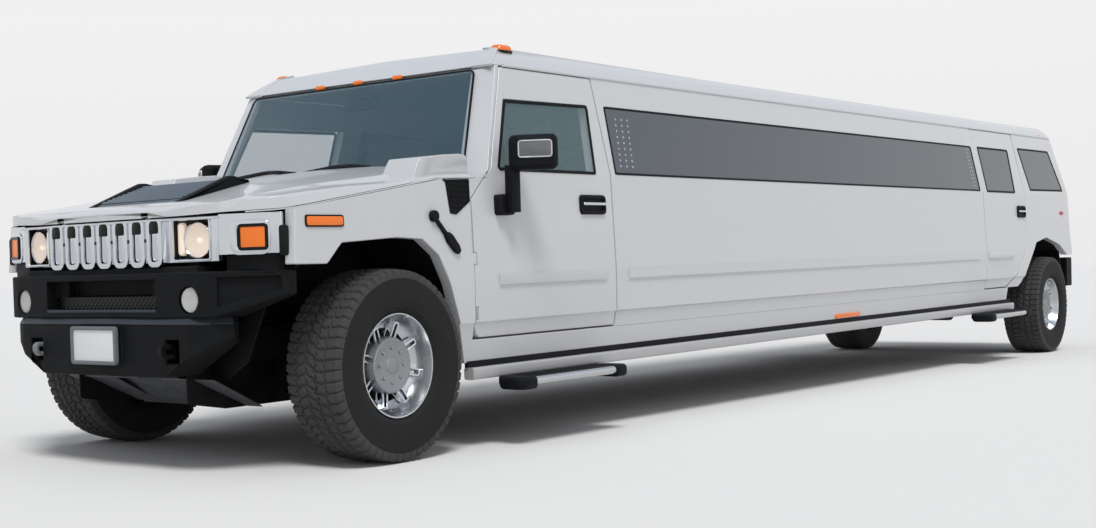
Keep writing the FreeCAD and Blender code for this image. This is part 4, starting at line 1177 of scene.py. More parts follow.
@dataclass
class Wheel:
    """Tyre with a block tread, and a cast wheel with looped ribs round a flat centre disc.

    Attributes:
        corner: which wheel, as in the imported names.
        body: the body that it turns with.
        side: 1 on the left, -1 on the right.
        axle: station of its axle in millimetres.
        track: its distance from the vehicle's middle.
        radius: tyre radius.
        half_tread: half the width of the tread between its shoulders.
        crown: how much lower the tread is there than in its middle.
        pitches: tread blocks round.
        groove: depth of the grooves.
        rings: place and wave direction of each groove that runs round.
        rows: middle, half width, shift and slant of each row of cross grooves.
        wave: swing of the grooves that run round.
        soft: width over which a groove's side falls.
        fade: radius at which grooves begin, and the height over which they deepen.
        ribs: looped ribs round the centre disc.
        loop_lean: how far the loops lean outward for each unit along the radius.
        studs: wheel studs on the disc.
        stud_circle: radius of the circle that they stand on.
    """

    corner: str
    body: Body
    side: int
    axle: float
    track: float = 881.5
    radius: float = 434.5
    half_tread: float = 146.0
    crown: float = 8.5
    pitches: int = 56
    groove: float = 11.0
    rings: tuple[tuple[float, int], ...] = ((-84, 1), (-28, -1), (28, 1), (84, -1))
    rows: tuple[tuple[float, ...], ...] = (
        (0, 28, 0.0, 0.01), (-56, 28, 0.45, -0.008), (56, 28, 0.2, 0.008),
        (-118, 60, 0.1, 0.002), (118, 60, 0.7, -0.002))
    wave: float = 8.0
    soft: float = 3.0
    fade: Pair = (396.0, 10.0)
    ribs: int = 8
    loop_lean: float = 0.24
    studs: int = 8
    stud_circle: float = 78.0

    def place(self, *shells: Shell) -> list[Shell]:
        """Moves shells from the wheel's centre, X outward, to the row frame."""
        origin = np.array((self.side * self.track, self.axle - MIDDLE_Y / MM, HUB_Z / MM))
        return [shell.mapped((shell.points * (self.side, 1, 1) + origin) * MM) for shell in shells]

    def section(self) -> Array:
        """Outline of the tread band: shoulders, a crown that is a parabola, and a flat inside.

        Returns:
            (n, 2) points x, r round the outline.
        """
        shoulder = np.array([(149.5, 421.5), (152.5, 415.0), (154.3, 404.0), (155.3, 390.0)])
        across = np.linspace(-self.half_tread, self.half_tread, 59)
        drop = self.crown * (across / self.half_tread) ** 2
        crown = np.column_stack((across, self.radius - drop))
        inside = np.array([(144.0, 386.0), (-144.0, 386.0)])
        return np.concatenate((shoulder[::-1] * (-1, 1), crown, shoulder, inside))

    def tread(self, steps: int = 8, ring_half: float = 5.5, cross_half: float = 4.6,
              cross_depth: float = 0.8) -> Shell:
        """The tread band: its section carried round the axle, sunk along its normal in grooves.

        Zigzag grooves run round at fixed distances from the middle, their offset a triangle wave
        of the turn; slanting cross grooves part the blocks, one to a pitch in each row, and cut
        through both shoulders.

        Args:
            steps: columns of the grid to a block.
            ring_half: half width of the grooves that run round.
            cross_half: half width of the cross grooves.
            cross_depth: their share of the full depth.
        Returns:
            The band about the wheel's centre.
        """
        section = self.section()
        slope = np.roll(section, -1, axis=0) - np.roll(section, 1, axis=0)
        normal = np.column_stack((-slope[:, 1], slope[:, 0]))
        normal /= np.linalg.norm(normal, axis=1, keepdims=True)

        columns = self.pitches * steps
        turn = np.arange(columns) * 2 * math.pi / columns
        phase = (turn * self.pitches / (2 * math.pi))[None, :]
        pitch = 2 * math.pi * self.radius / self.pitches
        x, r = section[:, :1], section[:, 1:]
        zigzag = 1 - 4 * np.abs(phase % 1 - 0.5)

        def dent(distance: Array, half: float) -> Array:
            """1 inside a groove of this half width, falling to 0 over its soft sides."""
            return np.clip((half - np.abs(distance)) / self.soft + 0.5, 0, 1)

        rings = np.maximum.reduce([dent(x - centre - self.wave * sign * zigzag, ring_half)
                                   for centre, sign in self.rings])
        blocks = sum(dent(((phase + shift + x * slant) % 1 - 0.5) * pitch, cross_half)
                     * (np.abs(x - centre) < half) for centre, half, shift, slant in self.rows)
        start, rise = self.fade
        deep = np.clip((r - start) / rise, 0, 1)
        sunk = self.groove * np.maximum(rings, cross_depth * np.clip(blocks, 0, 1)) * deep
        px, pr = x - normal[:, :1] * sunk, r - normal[:, 1:] * sunk
        return surface(np.stack((px, pr * np.sin(turn), pr * np.cos(turn)), axis=-1),
                       wrap_rows=True)

    def carcass(self) -> Shell:
        """Sidewalls and inside of the tyre, with a guard ridge by the rim and two fine rings.

        Each ring adds its height times exp(-((r - its radius) / its half width)^2) to the wall.

        Returns:
            The closed surface of revolution.
        """
        wall = smooth_path([(154.6, 392, 0), (156.5, 352, 0), (156, 312, 0), (149, 272, 0),
                            (134, 245, 0), (118, 236.6, 0)], 40)[:, :2]
        radius = wall[:, 1]
        wall[:, 0] += (3.0 * np.exp(-((radius - 262) / 6) ** 2)
                       + 1.2 * np.exp(-((radius - 300) / 3) ** 2)
                       + 1.4 * np.exp(-((radius - 380) / 4) ** 2))
        return turned(np.concatenate((wall[::-1] * (-1, 1), wall)), 180, closed=True)

    def seats(self, lean: float) -> list[Seat]:
        """Seats at the wheel's centre, one for each rib, up along the radius.

        Args:
            lean: how far the radius leans outward.
        Returns:
            The seats.
        """
        angles = [2 * math.pi * (k + 0.3) / self.ribs for k in range(self.ribs)]
        return [Seat((0, 0, 0), (0, math.cos(a), -math.sin(a)), (lean, math.sin(a), math.cos(a)))
                for a in angles]

    def casting(self) -> list[Shell]:
        """Barrel with its lip and dished ring, and the spokes between ring and centre.

        Returns:
            The ring and one leaf for each spoke.
        """
        ring = turned(np.array([
            (118, 236.2), (127, 238), (133, 234), (132, 228), (124, 225), (110, 221), (84, 212),
            (64, 205), (50, 194), (42, 180), (39, 168), (24, 168), (26, 190), (26, 212),
            (-100, 214), (-120, 224), (-125, 236.2)]), 120, closed=True)
        leaf = rounded_outline([(-24, 100), (24, 100), (18, 178), (-18, 178)], 4.0, 3)
        return [ring] + [seat.put(slab(leaf, 20, 40, 4.0)) for seat in self.seats(0.0)]

    def loops(self) -> list[Shell]:
        """Long hollow loops on the spokes, leaning outward to the rim."""
        loop = rounded_outline([(-21, 106), (21, 106), (18, 213), (-18, 213)], 11.0, 5)
        return [seat.put(frame_strip(loop, 11.0, 10, 42, 5.0))
                for seat in self.seats(self.loop_lean)]

    def disc(self) -> list[Shell]:
        """Flat centre disc that stands out from the spokes, with a low cap and its studs.

        Returns:
            The disc and the studs.
        """
        dish = turned(np.array([(14, 0), (14, 120), (36, 132), (46, 130), (84, 127), (92, 124),
                                (95, 118), (95, 116), (93, 112), (93, 40), (96, 37), (97, 33),
                                (97, 0)]), 96)
        stud = turned(np.array([(90, 0), (90, 9), (97, 9), (99, 7), (99, 0)]), 20)
        ring = [2 * math.pi * k / self.studs for k in range(self.studs)]
        return [dish] + [stud.moved(0, self.stud_circle * math.sin(a),
                                    self.stud_circle * math.cos(a)) for a in ring]

    def build(self) -> None:
        """Makes the tyre, the cast wheel, its loops and disc, and the brake disc behind it."""
        make_piece("tyre_tread_" + self.corner, self.place(self.tread()), TREAD,
                   self.body, ["tyre_" + self.corner], crease=40)
        make_piece("tyre_carcass_" + self.corner, self.place(self.carcass()), RUBBER,
                   self.body)
        make_piece("wheel_casting_" + self.corner, self.place(*self.casting()), WHEEL,
                   self.body, ["rim_" + self.corner])
        make_piece("wheel_loops_" + self.corner, self.place(*self.loops()), CHROME,
                   self.body)
        make_piece("wheel_disc_" + self.corner, self.place(*self.disc()), WHEEL_GREY,
                   self.body)
        rotor = turned(np.array([(-14, 34), (-14, 160), (4, 160), (4, 34)]), 64, closed=True)
        make_piece("brake_disc_" + self.corner, self.place(rotor), CAST, self.body)


WHEELS = (Wheel("front_left", Body.WHEEL_FRONT_LEFT, 1, 0.0),
          Wheel("front_right", Body.WHEEL_FRONT_RIGHT, -1, 0.0),
          Wheel("rear_left", Body.WHEEL_REAR_LEFT, 1, WHEELBASE),
          Wheel("rear_right", Body.WHEEL_REAR_RIGHT, -1, WHEELBASE))


# ---- front end

@dataclass
class Grille:
    """Blades, webs, tabs and dark heads of the framed slots, and the brow above them.

    Attributes:
        face: station of the plate's face.
        pitch: distance between slots.
        slots: how many there are.
        proud: how far the slots' frames stand out.
        blade_z: height of the blades' middle.
        web_z: height of the webs' and the dark backs' middle.
        head_z: height of the dark heads.
        tab_z: height of the tabs between the frames.
    """

    face: float = -798.0
    pitch: float = 116.5
    slots: int = 7
    proud: float = 18.0
    blade_z: float = 1005.0
    web_z: float = 1010.0
    head_z: float = 1081.0
    tab_z: float = 1020.0

    def blades(self, xs: Sequence[float]) -> list[Shell]:
        """Bright blade with a round foot and a deep round rim in each slot."""
        blade = rounded_outline([(-27, -80), (27, -80), (25, 56), (-25, 56)], [26, 26, 6, 6], 6)
        return [front_seat(x - 1, self.face, self.blade_z).put(slab(blade, -30, 13, 13.0, 6))
                for x in xs]

    def darks(self, xs: Sequence[float]) -> list[Shell]:
        """What shows dark: the back and the head of each slot, and the tabs between frames.

        Args:
            xs: the slots' middles.
        Returns:
            The shells.
        """
        back = tablet(84, 190, 8.0, 3)
        head = rounded_outline([(-27, -30), (27, -30), (29, 22), (-29, 22)], [6, 6, 16, 16], 5)
        tab = tablet(20, 15, 3.0, 3)
        backs = [front_seat(x, self.face + 50, self.web_z).put(slab(back, -4, 4, 2.0)) for x in xs]
        heads = [front_seat(x, self.face - self.proud, self.head_z)
                 .put(slab(head, -14, 1.5, 1.0, 3)) for x in xs]
        tabs = [front_seat(x + self.pitch / 2, self.face - 11, self.tab_z)
                .put(slab(tab, -2, 4, 2.0)) for x in xs[:-1]]
        return backs + heads + tabs

    def webs(self, xs: Sequence[float]) -> list[Shell]:
        """Low ribs between the frames, and the brow that follows the plate's bent top edge.

        Args:
            xs: the slots' middles.
        Returns:
            The shells.
        """
        web = rounded_outline([(-12, -82), (12, -82), (12, 92), (-12, 92)], 4.0, 3)
        brow = np.array([(-690, -758, 1105), (-420, -799, 1105), (-400, -806, 1105),
                         (400, -806, 1105), (420, -799, 1105), (690, -758, 1105)], float)
        return [front_seat(x + self.pitch / 2, self.face, self.web_z).put(slab(web, -2, 11, 5.0))
                for x in xs[:-1]] + [swept(brow, tablet(22, 12, 3.0, 3))]

    def build(self) -> None:
        """Makes the pieces for every slot."""
        xs = [(k - self.slots // 2) * self.pitch for k in range(self.slots)]
        make_piece("grille_blades", on_body(*self.blades(xs)), CHROME)
        make_piece("grille_darks", on_body(*self.darks(xs)), GLOSS_BLACK)
        make_piece("grille_webs", on_body(*self.webs(xs)), CHROME)


@dataclass
class BonnetVent:
    """Louvred intake on the bonnet between two black wedge ridges, riding on the bonnet.

    Attributes:
        ridge_x: distance of the ridges from the middle.
        ridge_half: half the ridges' width.
        middle: station and height of the louvre's middle.
        rise: how far the bonnet runs rearward and up there.
        plate: width and length of the louvre.
        slats: number of louvre slats.
        reach: how far the outer slats lie from the middle.
        tilt: how steeply each slat stands.
    """

    ridge_x: float = 312.0
    ridge_half: float = 24.0
    middle: Pair = (-475.0, 1247.0)
    rise: Pair = (280.0, 93.0)
    plate: Pair = (590.0, 300.0)
    slats: int = 9
    reach: float = 124.0
    tilt: float = 0.35

    def ridge(self) -> Shell:
        """Left ridge: a wedge in side view with rounded edges on both faces.

        Returns:
            The closed surface.
        """
        wedge = rounded_outline([(-655, 1189), (-545, 1234), (-420, 1284), (-350, 1311),
                                 (-318, 1311), (-228, 1292), (-250, 1262), (-420, 1215),
                                 (-640, 1165)], [2, 20, 30, 12, 10, 2, 6, 10, 4], 4)
        block = slab(wedge, -self.ridge_half, self.ridge_half, 12.0, 5, both_rims=True)
        return Seat((0, 0, 0), (0, 1, 0), (0, 0, 1)).put(block).moved(self.ridge_x, 0, 0)

    def louvre(self) -> list[Shell]:
        """Plate between the ridges and the tilted slats on it.

        Returns:
            The shells.
        """
        seat = Seat((0, *self.middle), (1, 0, 0), (0, *self.rise))
        plate = seat.put(slab(tablet(*self.plate, 10.0, 4), -30, 0, 3.0))
        slat = tablet(self.plate[0] - 18, 15, 4.0, 3)
        tilt = Seat((0, 0, 0), (1, 0, 0), (0, 1, self.tilt))
        return [plate] + [seat.put(tilt.put(slab(slat, -3, 4, 2.0)).moved(0, y, 3))
                          for y in np.linspace(-self.reach, self.reach, self.slats)]

    def build(self) -> None:
        """Makes the ridges and the louvre."""
        make_piece("bonnet_vent_ridges", in_pairs(self.ridge()), BLACK,
                   Body.BONNET, ["bonnet_vent"])
        make_piece("bonnet_vent_louvre", on_body(*self.louvre()), VENT_GREY,
                   Body.BONNET)


@dataclass
class Lamps:
    """Headlamps in their square recesses, fog lamps and every amber lamp with its frame.

    Attributes:
        recess: place of the recess's middle on the face.
        recess_size: its width and height.
        sweep: degrees that the grille's outer part is turned rearward.
        lamp: place of the round headlamp.
        lamp_r: radius of its lens.
        lamp_deep: depth of its bowl.
        fog: place of the fog lamp.
        fog_r: radius of its lens.
        fog_deep: depth of its bowl.
        park: place of the tall parking lamp beside the headlamp.
    """

    recess: Place = (545.0, -773.0, 1016.0)
    recess_size: Pair = (200.0, 168.0)
    sweep: float = 8.2
    lamp: Place = (565.0, -756.0, 1014.0)
    lamp_r: float = 79.0
    lamp_deep: float = 11.0
    fog: Place = (590.0, -828.0, 762.0)
    fog_r: float = 56.0
    fog_deep: float = 20.0
    park: Place = (474.0, -780.0, 1020.0)

    def round_lamp(self, place: Seat, radius: float, deep: float) -> tuple[Shell, ...]:
        """Bowl, domed lens, ring and bulb of a round lamp that looks along the seat's first axis.

        The bowl's radius falls with the square root of its depth; the dome is a shallow sphere.

        Args:
            place: seat at the middle of the lens.
            radius: of the lens.
            deep: depth of the bowl.
        Returns:
            The four shells.
        """
        depth = np.linspace(0, 1, 9)
        bowl = np.column_stack((-3 - deep * depth, radius * 0.93 * np.sqrt(1 - depth * 0.97)))
        bowl = turned(np.concatenate((bowl, [(-3 - deep, 0)])), 48)
        rise = np.linspace(0, math.pi / 2, 8)
        dome = np.column_stack((9 * np.cos(rise), radius * 0.95 * np.sin(rise)))
        lens = turned(np.concatenate((dome, [(-3, radius * 0.95), (-3, 0)])), 48)
        ring = turned(np.array([(-8, radius), (2, radius), (5, radius - 3), (2, radius - 6),
                                (-8, radius - 6)]), 48, closed=True)
        bulb = turned(np.array([(-2, 0), (-4, 8), (-10, 11), (-deep, 9), (-deep, 0)]), 24)
        return tuple(place.put(shell) for shell in (bowl, lens, ring, bulb))

    def amber(self) -> tuple[list[Shell], list[Shell], list[Shell]]:
        """Amber lamps of the left corner box, wing, sill and roof.

        Returns:
            Their lenses, their black frames and the corner lamp's bright surround.
        """
        corner = Seat((845, -697.5, 1018), (0.946, 0.324, 0), (0, 0, 1))
        wing, sill = side_seat(-442.0, 1078.0), side_seat(4735.0, 432.0)
        roof = Seat((782, 1120, 1953), (1, 0, -0.06), (0, 1, 0.02))
        lenses = [corner.put(slab(tablet(120, 90, 9.0, 4), -18, 5, 4.0)),
                  wing.put(slab(tablet(216, 38, 9.0, 4), -2, 10, 4.0)),
                  sill.put(slab(tablet(388, 28, 8.0, 4), -1, 11, 4.0)),
                  roof.put(slab(tablet(78, 112, 26.0, 5), -8, 32, 26.0, 6))]
        frames = [corner.put(frame_strip(tablet(142, 112, 16.0, 4), 14.0, -16, 9, 4.0)),
                  wing.put(frame_strip(tablet(232, 52, 13.0, 4), 8.0, -1, 6, 2.0)),
                  roof.put(frame_strip(tablet(88, 122, 30.0, 5), 8.0, -10, 3, 2.0))]
        plate = Seat((831, -702, 1017.5), (0.946, 0.324, 0), (0, 0, 1))
        around = [plate.put(frame_strip(tablet(190, 146, 37.0, 5), 34.0, -8, 2, 2.0))]
        return lenses, frames, around

    def build(self) -> None:
        """Makes liners, bezels, reflectors, lenses and frames."""
        face = front_seat(*self.recess, self.sweep)
        box = tablet(*self.recess_size, 6.0, 3)
        liner = [face.put(frame_strip(box, 3.0, -33, 0, 1.0)),
                 face.put(slab(shrunk(box, 1.0), -36, -32))]
        head = Seat(self.lamp, (0.14, -1, 0), (0, 0, 1))
        low = Seat(self.fog, (0.12, -1, 0), (0, 0, 1))
        parts = [self.round_lamp(head, self.lamp_r, self.lamp_deep),
                 self.round_lamp(low, self.fog_r, self.fog_deep)]
        pod = low.put(turned(np.array([(-20, 62), (-8, 74), (-3, 74), (2, 66), (2, 60), (-20, 56)]),
                             48, closed=True))
        slot = Seat((968, -640, 1000), (0.6, 0.8, 0), (0, 0, 1))
        gap = slot.put(slab(tablet(40, 128, 12.0, 4), -10, 4, 3.0))
        make_piece("headlamp_liners", in_pairs(*liner, pod, gap), GLOSS_BLACK)
        bezel = face.put(frame_strip(tablet(216, 184, 14.0, 4), 10.0, -3, 6, 4.0))
        park = tablet(40, 142, 17.0, 5)
        strip = front_seat(*self.park, self.sweep)
        make_piece("lamp_reflectors",
                   in_pairs(parts[0][0], strip.put(slab(park, -30, -8, 10.0))),
                   REFLECTOR, replaces=["front_lamps"])
        make_piece("fog_reflectors", in_pairs(parts[1][0]), NEUTRAL_REFLECTOR)
        make_piece("lamp_bulbs", in_pairs(parts[0][3]), BULB)
        make_piece("lamp_lenses", in_pairs(*[p[1] for p in parts]), CLEAR_LENS)
        lenses, frames, around = self.amber()
        make_piece("amber_lenses", in_pairs(*lenses), AMBER, replaces=["amber_lamps"])
        make_piece("amber_frames", in_pairs(*frames), GLOSS_BLACK)
        make_piece("lamp_bezels", in_pairs(bezel, parts[0][2], *around), CHROME)


@dataclass
class Bumper:
    """Mesh, plate, tow eyes and undertray of the front bumper.

    Attributes:
        plate: place of the number plate's pad.
        plate_size: width and height of the plate.
        mesh_half: half the width of the mesh in the opening.
        mesh_z: heights of its lower and upper edge.
        mesh_y: station of its face.
        eye: place of the left tow eye.
    """

    plate: Place = (-8.0, -880.0, 566.0)
    plate_size: Pair = (300.0, 148.0)
    mesh_half: float = 385.0
    mesh_z: Pair = (718.0, 778.0)
    mesh_y: float = -797.0
    eye: Place = (446.0, -842.0, 541.0)

    def tow_eye(self) -> Shell:
        """Forged eye that stands out of its pocket: a plate with a rounded nose and a hole.

        Returns:
            The closed surface.
        """
        nose = rounded_outline([(-52, -30), (30, -30), (48, -8), (48, 20), (30, 34), (-52, 34)],
                               [4, 20, 18, 18, 14, 4], 5)
        side = Seat(self.eye, (0, -1, 0), (0, 0, 1))
        return side.put(frame_strip(nose, 20.0, -14, 14, 7.0))

    def shields(self) -> list[Shell]:
        """Splash shields between bumper, frame rail and wheel arch on the left.

        Returns:
            The lower and upper side shields and the one behind the wing.
        """
        side = Seat((0, 0, 0), (0, 1, 0), (0, 0, 1))
        low = rounded_outline([(-690, 470), (-690, 300), (-470, 262), (60, 262), (60, 470)],
                              12.0, 3)
        high = rounded_outline([(-690, 860), (-690, 625), (300, 625), (300, 860)], 12.0, 3)
        front = Seat((0, -560, 0), (1, 0, 0), (0, 0, 1))
        wing = rounded_outline([(390, 880), (390, 420), (500, 400), (640, 480), (700, 600),
                                (780, 760), (860, 880)], 14.0, 4)
        return [side.put(slab(low, 380, 388, 2.0)), side.put(slab(high, 380, 388, 2.0)),
                front.put(slab(wing, -4, 4, 2.0))]

    def ledge(self) -> list[Shell]:
        """Strip on the ledge between the two blocks, and the lip below the opening, whose pale
        colour is painted sky reflection.

        Returns:
            The two swept surfaces.
        """
        half = [(0.0, -848.0), (300.0, -843.0), (580.0, -838.0), (668.0, -796.0), (726.0, -718.0)]
        line = [(-x, y, 670.0) for x, y in half[:0:-1]] + [(x, y, 670.0) for x, y in half]
        strip = rounded_outline([(-16, 14), (-4, 16), (14, -12), (2, -14)], 2.0, 2)
        lip = np.array([(x, -846.0, 716.0) for x in np.linspace(-388, 388, 12)])
        return [swept(np.array(line), strip), swept(lip, circle(8.0, 12))]

    def trays(self) -> Shell:
        """Left undertray, which falls from the bumper to the skid plate's height.

        Returns:
            A sheet whose rows are rectangles 7 mm thick.
        """
        rows = [(170 + 20 * k, 520 - 10 * k, y, z) for k, (y, z) in enumerate(
            ((-650, 408), (-550, 362), (-450, 316), (-350, 270)))]
        top = np.array([[(a, y, z), (b, y, z), (b, y + 3, z - 7), (a, y + 3, z - 7)]
                        for a, b, y, z in rows], float)
        return surface(top, capped=True)

    def mesh(self, depth: float = 4.0, hatch: float = 9.0) -> Shell:
        """Mesh: depth times the larger of |sin((x + z) / hatch)| and |sin((x - z) / hatch)|.

        Args:
            depth: relief of the strands.
            hatch: distance over which a strand's phase turns by one radian.
        Returns:
            The sheet.
        """
        x, z = np.meshgrid(np.linspace(-self.mesh_half, self.mesh_half, 160),
                           np.linspace(*self.mesh_z, 16))
        relief = depth * np.abs(np.sin(np.stack((x + z, x - z)) / hatch)).max(axis=0)
        return surface(np.stack((x, self.mesh_y - relief, z), axis=-1), wrap_columns=False)

    def build(self) -> None:
        """Makes the mesh, the ledge, the blank plate in its frame, the eyes and the shields."""
        make_piece("bumper_mesh", on_body(self.mesh()), GLOSS_BLACK, crease=60)
        make_piece("bumper_ledge", on_body(*self.ledge()), SKY_SHEEN_LEDGE)
        make_piece("undertrays", in_pairs(self.trays()), SKID)
        pad, (width, height) = front_seat(*self.plate), self.plate_size
        frame = pad.put(frame_strip(tablet(width + 22, height + 22, 18.0, 5), 17.0, -6, 12, 4.0))
        back = pad.put(slab(tablet(width, height + 2, 8.0, 4), -30, -3, 2.0))
        make_piece("plate_frame", on_body(frame, back), GREY)
        plate = pad.put(slab(tablet(width, height, 8.0, 4), -1, 5, 1.5))
        make_piece("front_plate", on_body(plate), PLATE_WHITE)
        make_piece("tow_eye_right", on_body(self.tow_eye().mirrored()), TOW_GREY,
                   replaces=["tow_loops"])
        # the left eye is black as painted shade, where it lies in shadow; it is the same galvanised
        # forging as the right one
        make_piece("tow_eye_left_painted_shade", on_body(self.tow_eye()), CHASSIS)
        make_piece("splash_shields", in_pairs(*self.shields()), CHASSIS)


# ---- sides

# station and height of each side window's corners
FRONT_WINDOW = ((784, 1341), (941, 1684), (1680, 1699), (1634, 1323), (800, 1323))
LONG_WINDOW = ((1820, 1328), (1838, 1703), (7300, 1703), (7300, 1328))
REAR_DOOR_WINDOW = ((7450, 1323), (7450, 1706), (8180, 1706), (8130, 1323))
QUARTER_WINDOW = ((8546, 1354), (8451, 1731), (9280, 1732), (9452, 1361))


def skin_loop(corners: Sequence[Pair], radius: float | Sequence[float],
              steps: int = 5) -> tuple[Seat, Array]:
    """A rounded outline on one flat part of the side skin.

    Args:
        corners: (station, height) of its corners.
        radius: of its corners.
        steps: points of each arc.
    Returns:
        The seat at its middle and the outline in the seat's first two axes.
    """
    points = np.asarray(corners, float)
    middle = (points.min(axis=0) + points.max(axis=0)) / 2
    seat = side_seat(*middle)
    stretch = np.linalg.norm(seat.up)
    return seat, rounded_outline((points - middle) * (1, stretch), radius, steps)


@dataclass
class Doors:
    """Window seals, handles and mirrors, on each door's own body.

    Attributes:
        handle_z: height of the handles.
        handles: station and length of the front and the rear door's handle.
        seal_width: width of the doors' window seals.
        head_z: heights of the mirror head's bottom and top.
        arm: place of the mirror's arm.
        foot: station and height of its foot.
        lamp: middle of the lamp in the mirror head's slanting front.
        lamp_size: its width and height.
        glass: middle of the mirror glass.
    """

    handle_z: float = 1164.0
    handles: tuple[Pair, ...] = ((1578.0, 236.0), (8248.0, 200.0))
    seal_width: float = 16.0
    head_z: Pair = (1318.0, 1487.0)
    arm: Pair = (1070.0, 805.0)
    foot: Pair = (792.0, 1155.0)
    lamp: Place = (1203.0, 813.0, 1416.0)
    lamp_size: Pair = (166.0, 86.0)
    glass: Place = (1158.0, 911.0, 1403.0)

    def seal(self, corners: Sequence[Pair], width: float) -> Shell:
        """Rubber seal round a window on the left side."""
        seat, loop = skin_loop(corners, 22.0)
        return seat.put(frame_strip(loop, width, -2.0, 3.5, 1.5))

    def handle(self, y: float, length: float) -> tuple[Shell, Shell, Shell]:
        """Door handle on the left.

        Args:
            y: its station.
            length: of its housing.
        Returns:
            Housing, dark cup and bright bar.
        """
        seat = side_seat(y, self.handle_z)
        housing = seat.put(frame_strip(tablet(length, 102, 24.0, 5), 20.0, -3, 14, 6.0))
        cup = seat.put(slab(tablet(length - 30, 74, 12.0, 4), -4, 3, 2.0))
        bar = seat.put(slab(tablet(length - 30, 16, 6.0, 4), 2, 17, 4.0))
        return housing, cup, bar.moved(0, 8, 4)

    def mirror(self) -> tuple[Shell, ...]:
        """Left mirror, whose head's front slants outward.

        Returns:
            Head, arm and foot.
        """
        plan = [(1062, 790), (1084, 762), (1132, 764), (1272, 864), (1272, 912), (1062, 912)]
        flat = Seat((0, 0, 0), (1, 0, 0), (0, 1, 0))
        head = flat.put(slab(rounded_outline(plan, [12, 14, 20, 24, 12, 12], 4), *self.head_z,
                             30.0, 6, both_rims=True))
        arm = flat.put(slab(tablet(62, 62, 16.0, 4), 1118, 1345))
        foot = side_seat(*self.foot).put(slab(tablet(115, 100, 16.0, 4), -1, 44, 10.0))
        return head, arm.moved(*self.arm, 0), foot

    def lamp_insert(self) -> tuple[Shell, Shell]:
        """Lamp in the mirror head's slanting front.

        Returns:
            Its bright frame and its ribbed lens.
        """
        seat = Seat(self.lamp, (0.814, 0.581, 0), (0, 0, 1))
        loop = tablet(*self.lamp_size, 16.0, 5)
        frame = seat.put(frame_strip(loop, 8.0, -8, 5, 3.0))
        ribs = [seat.put(slab(tablet(6, 56, 2.5, 3), 0, 4, 2.0).moved(x, 0, 0))
                for x in np.linspace(-55, 55, 9)]
        lens = seat.put(slab(shrunk(loop, 7.0), -8, 2, 2.0))
        return frame, Shell(*joined(lens, *ribs))

    def build(self) -> None:
        """Makes the pieces of the four doors."""
        head_glass = Seat(self.glass, (-1, 0, 0), (0, 0, 1)).put(
            slab(tablet(150, 124, 22.0, 4), -2, 3, 1.0))
        for side, front, rear in (("left", Body.DOOR_FRONT_LEFT, Body.DOOR_REAR_LEFT),
                                  ("right", Body.DOOR_FRONT_RIGHT, Body.DOOR_REAR_RIGHT)):
            def turn(*shells: Shell) -> list[Shell]:
                """Shells of the left side, or their mirror images, in the row frame."""
                flip = side == "right"
                return on_body(*[shell.mirrored() if flip else shell for shell in shells])

            for place, body, window, (y, length) in zip(
                    ("front", "rear"), (front, rear), (FRONT_WINDOW, REAR_DOOR_WINDOW),
                    self.handles):
                name = f"{place}_{side}"
                make_piece("window_seal_" + name, turn(self.seal(window, self.seal_width)), BLACK,
                           body)
                housing, cup, bar = self.handle(y, length)
                make_piece("handle_housing_" + name, turn(housing, cup), BLACK,
                           body)
                make_piece("handle_bar_" + name, turn(bar), CHROME, body)
            make_piece("mirror_shell_" + side, turn(*self.mirror()), BLACK, front,
                       ["mirror_" + side])
            frame, lens = self.lamp_insert()
            make_piece("mirror_lamp_frame_" + side, turn(frame, head_glass), WHEEL,
                       front)
            make_piece("mirror_lamp_lens_" + side, turn(lens), SMOKED, front)


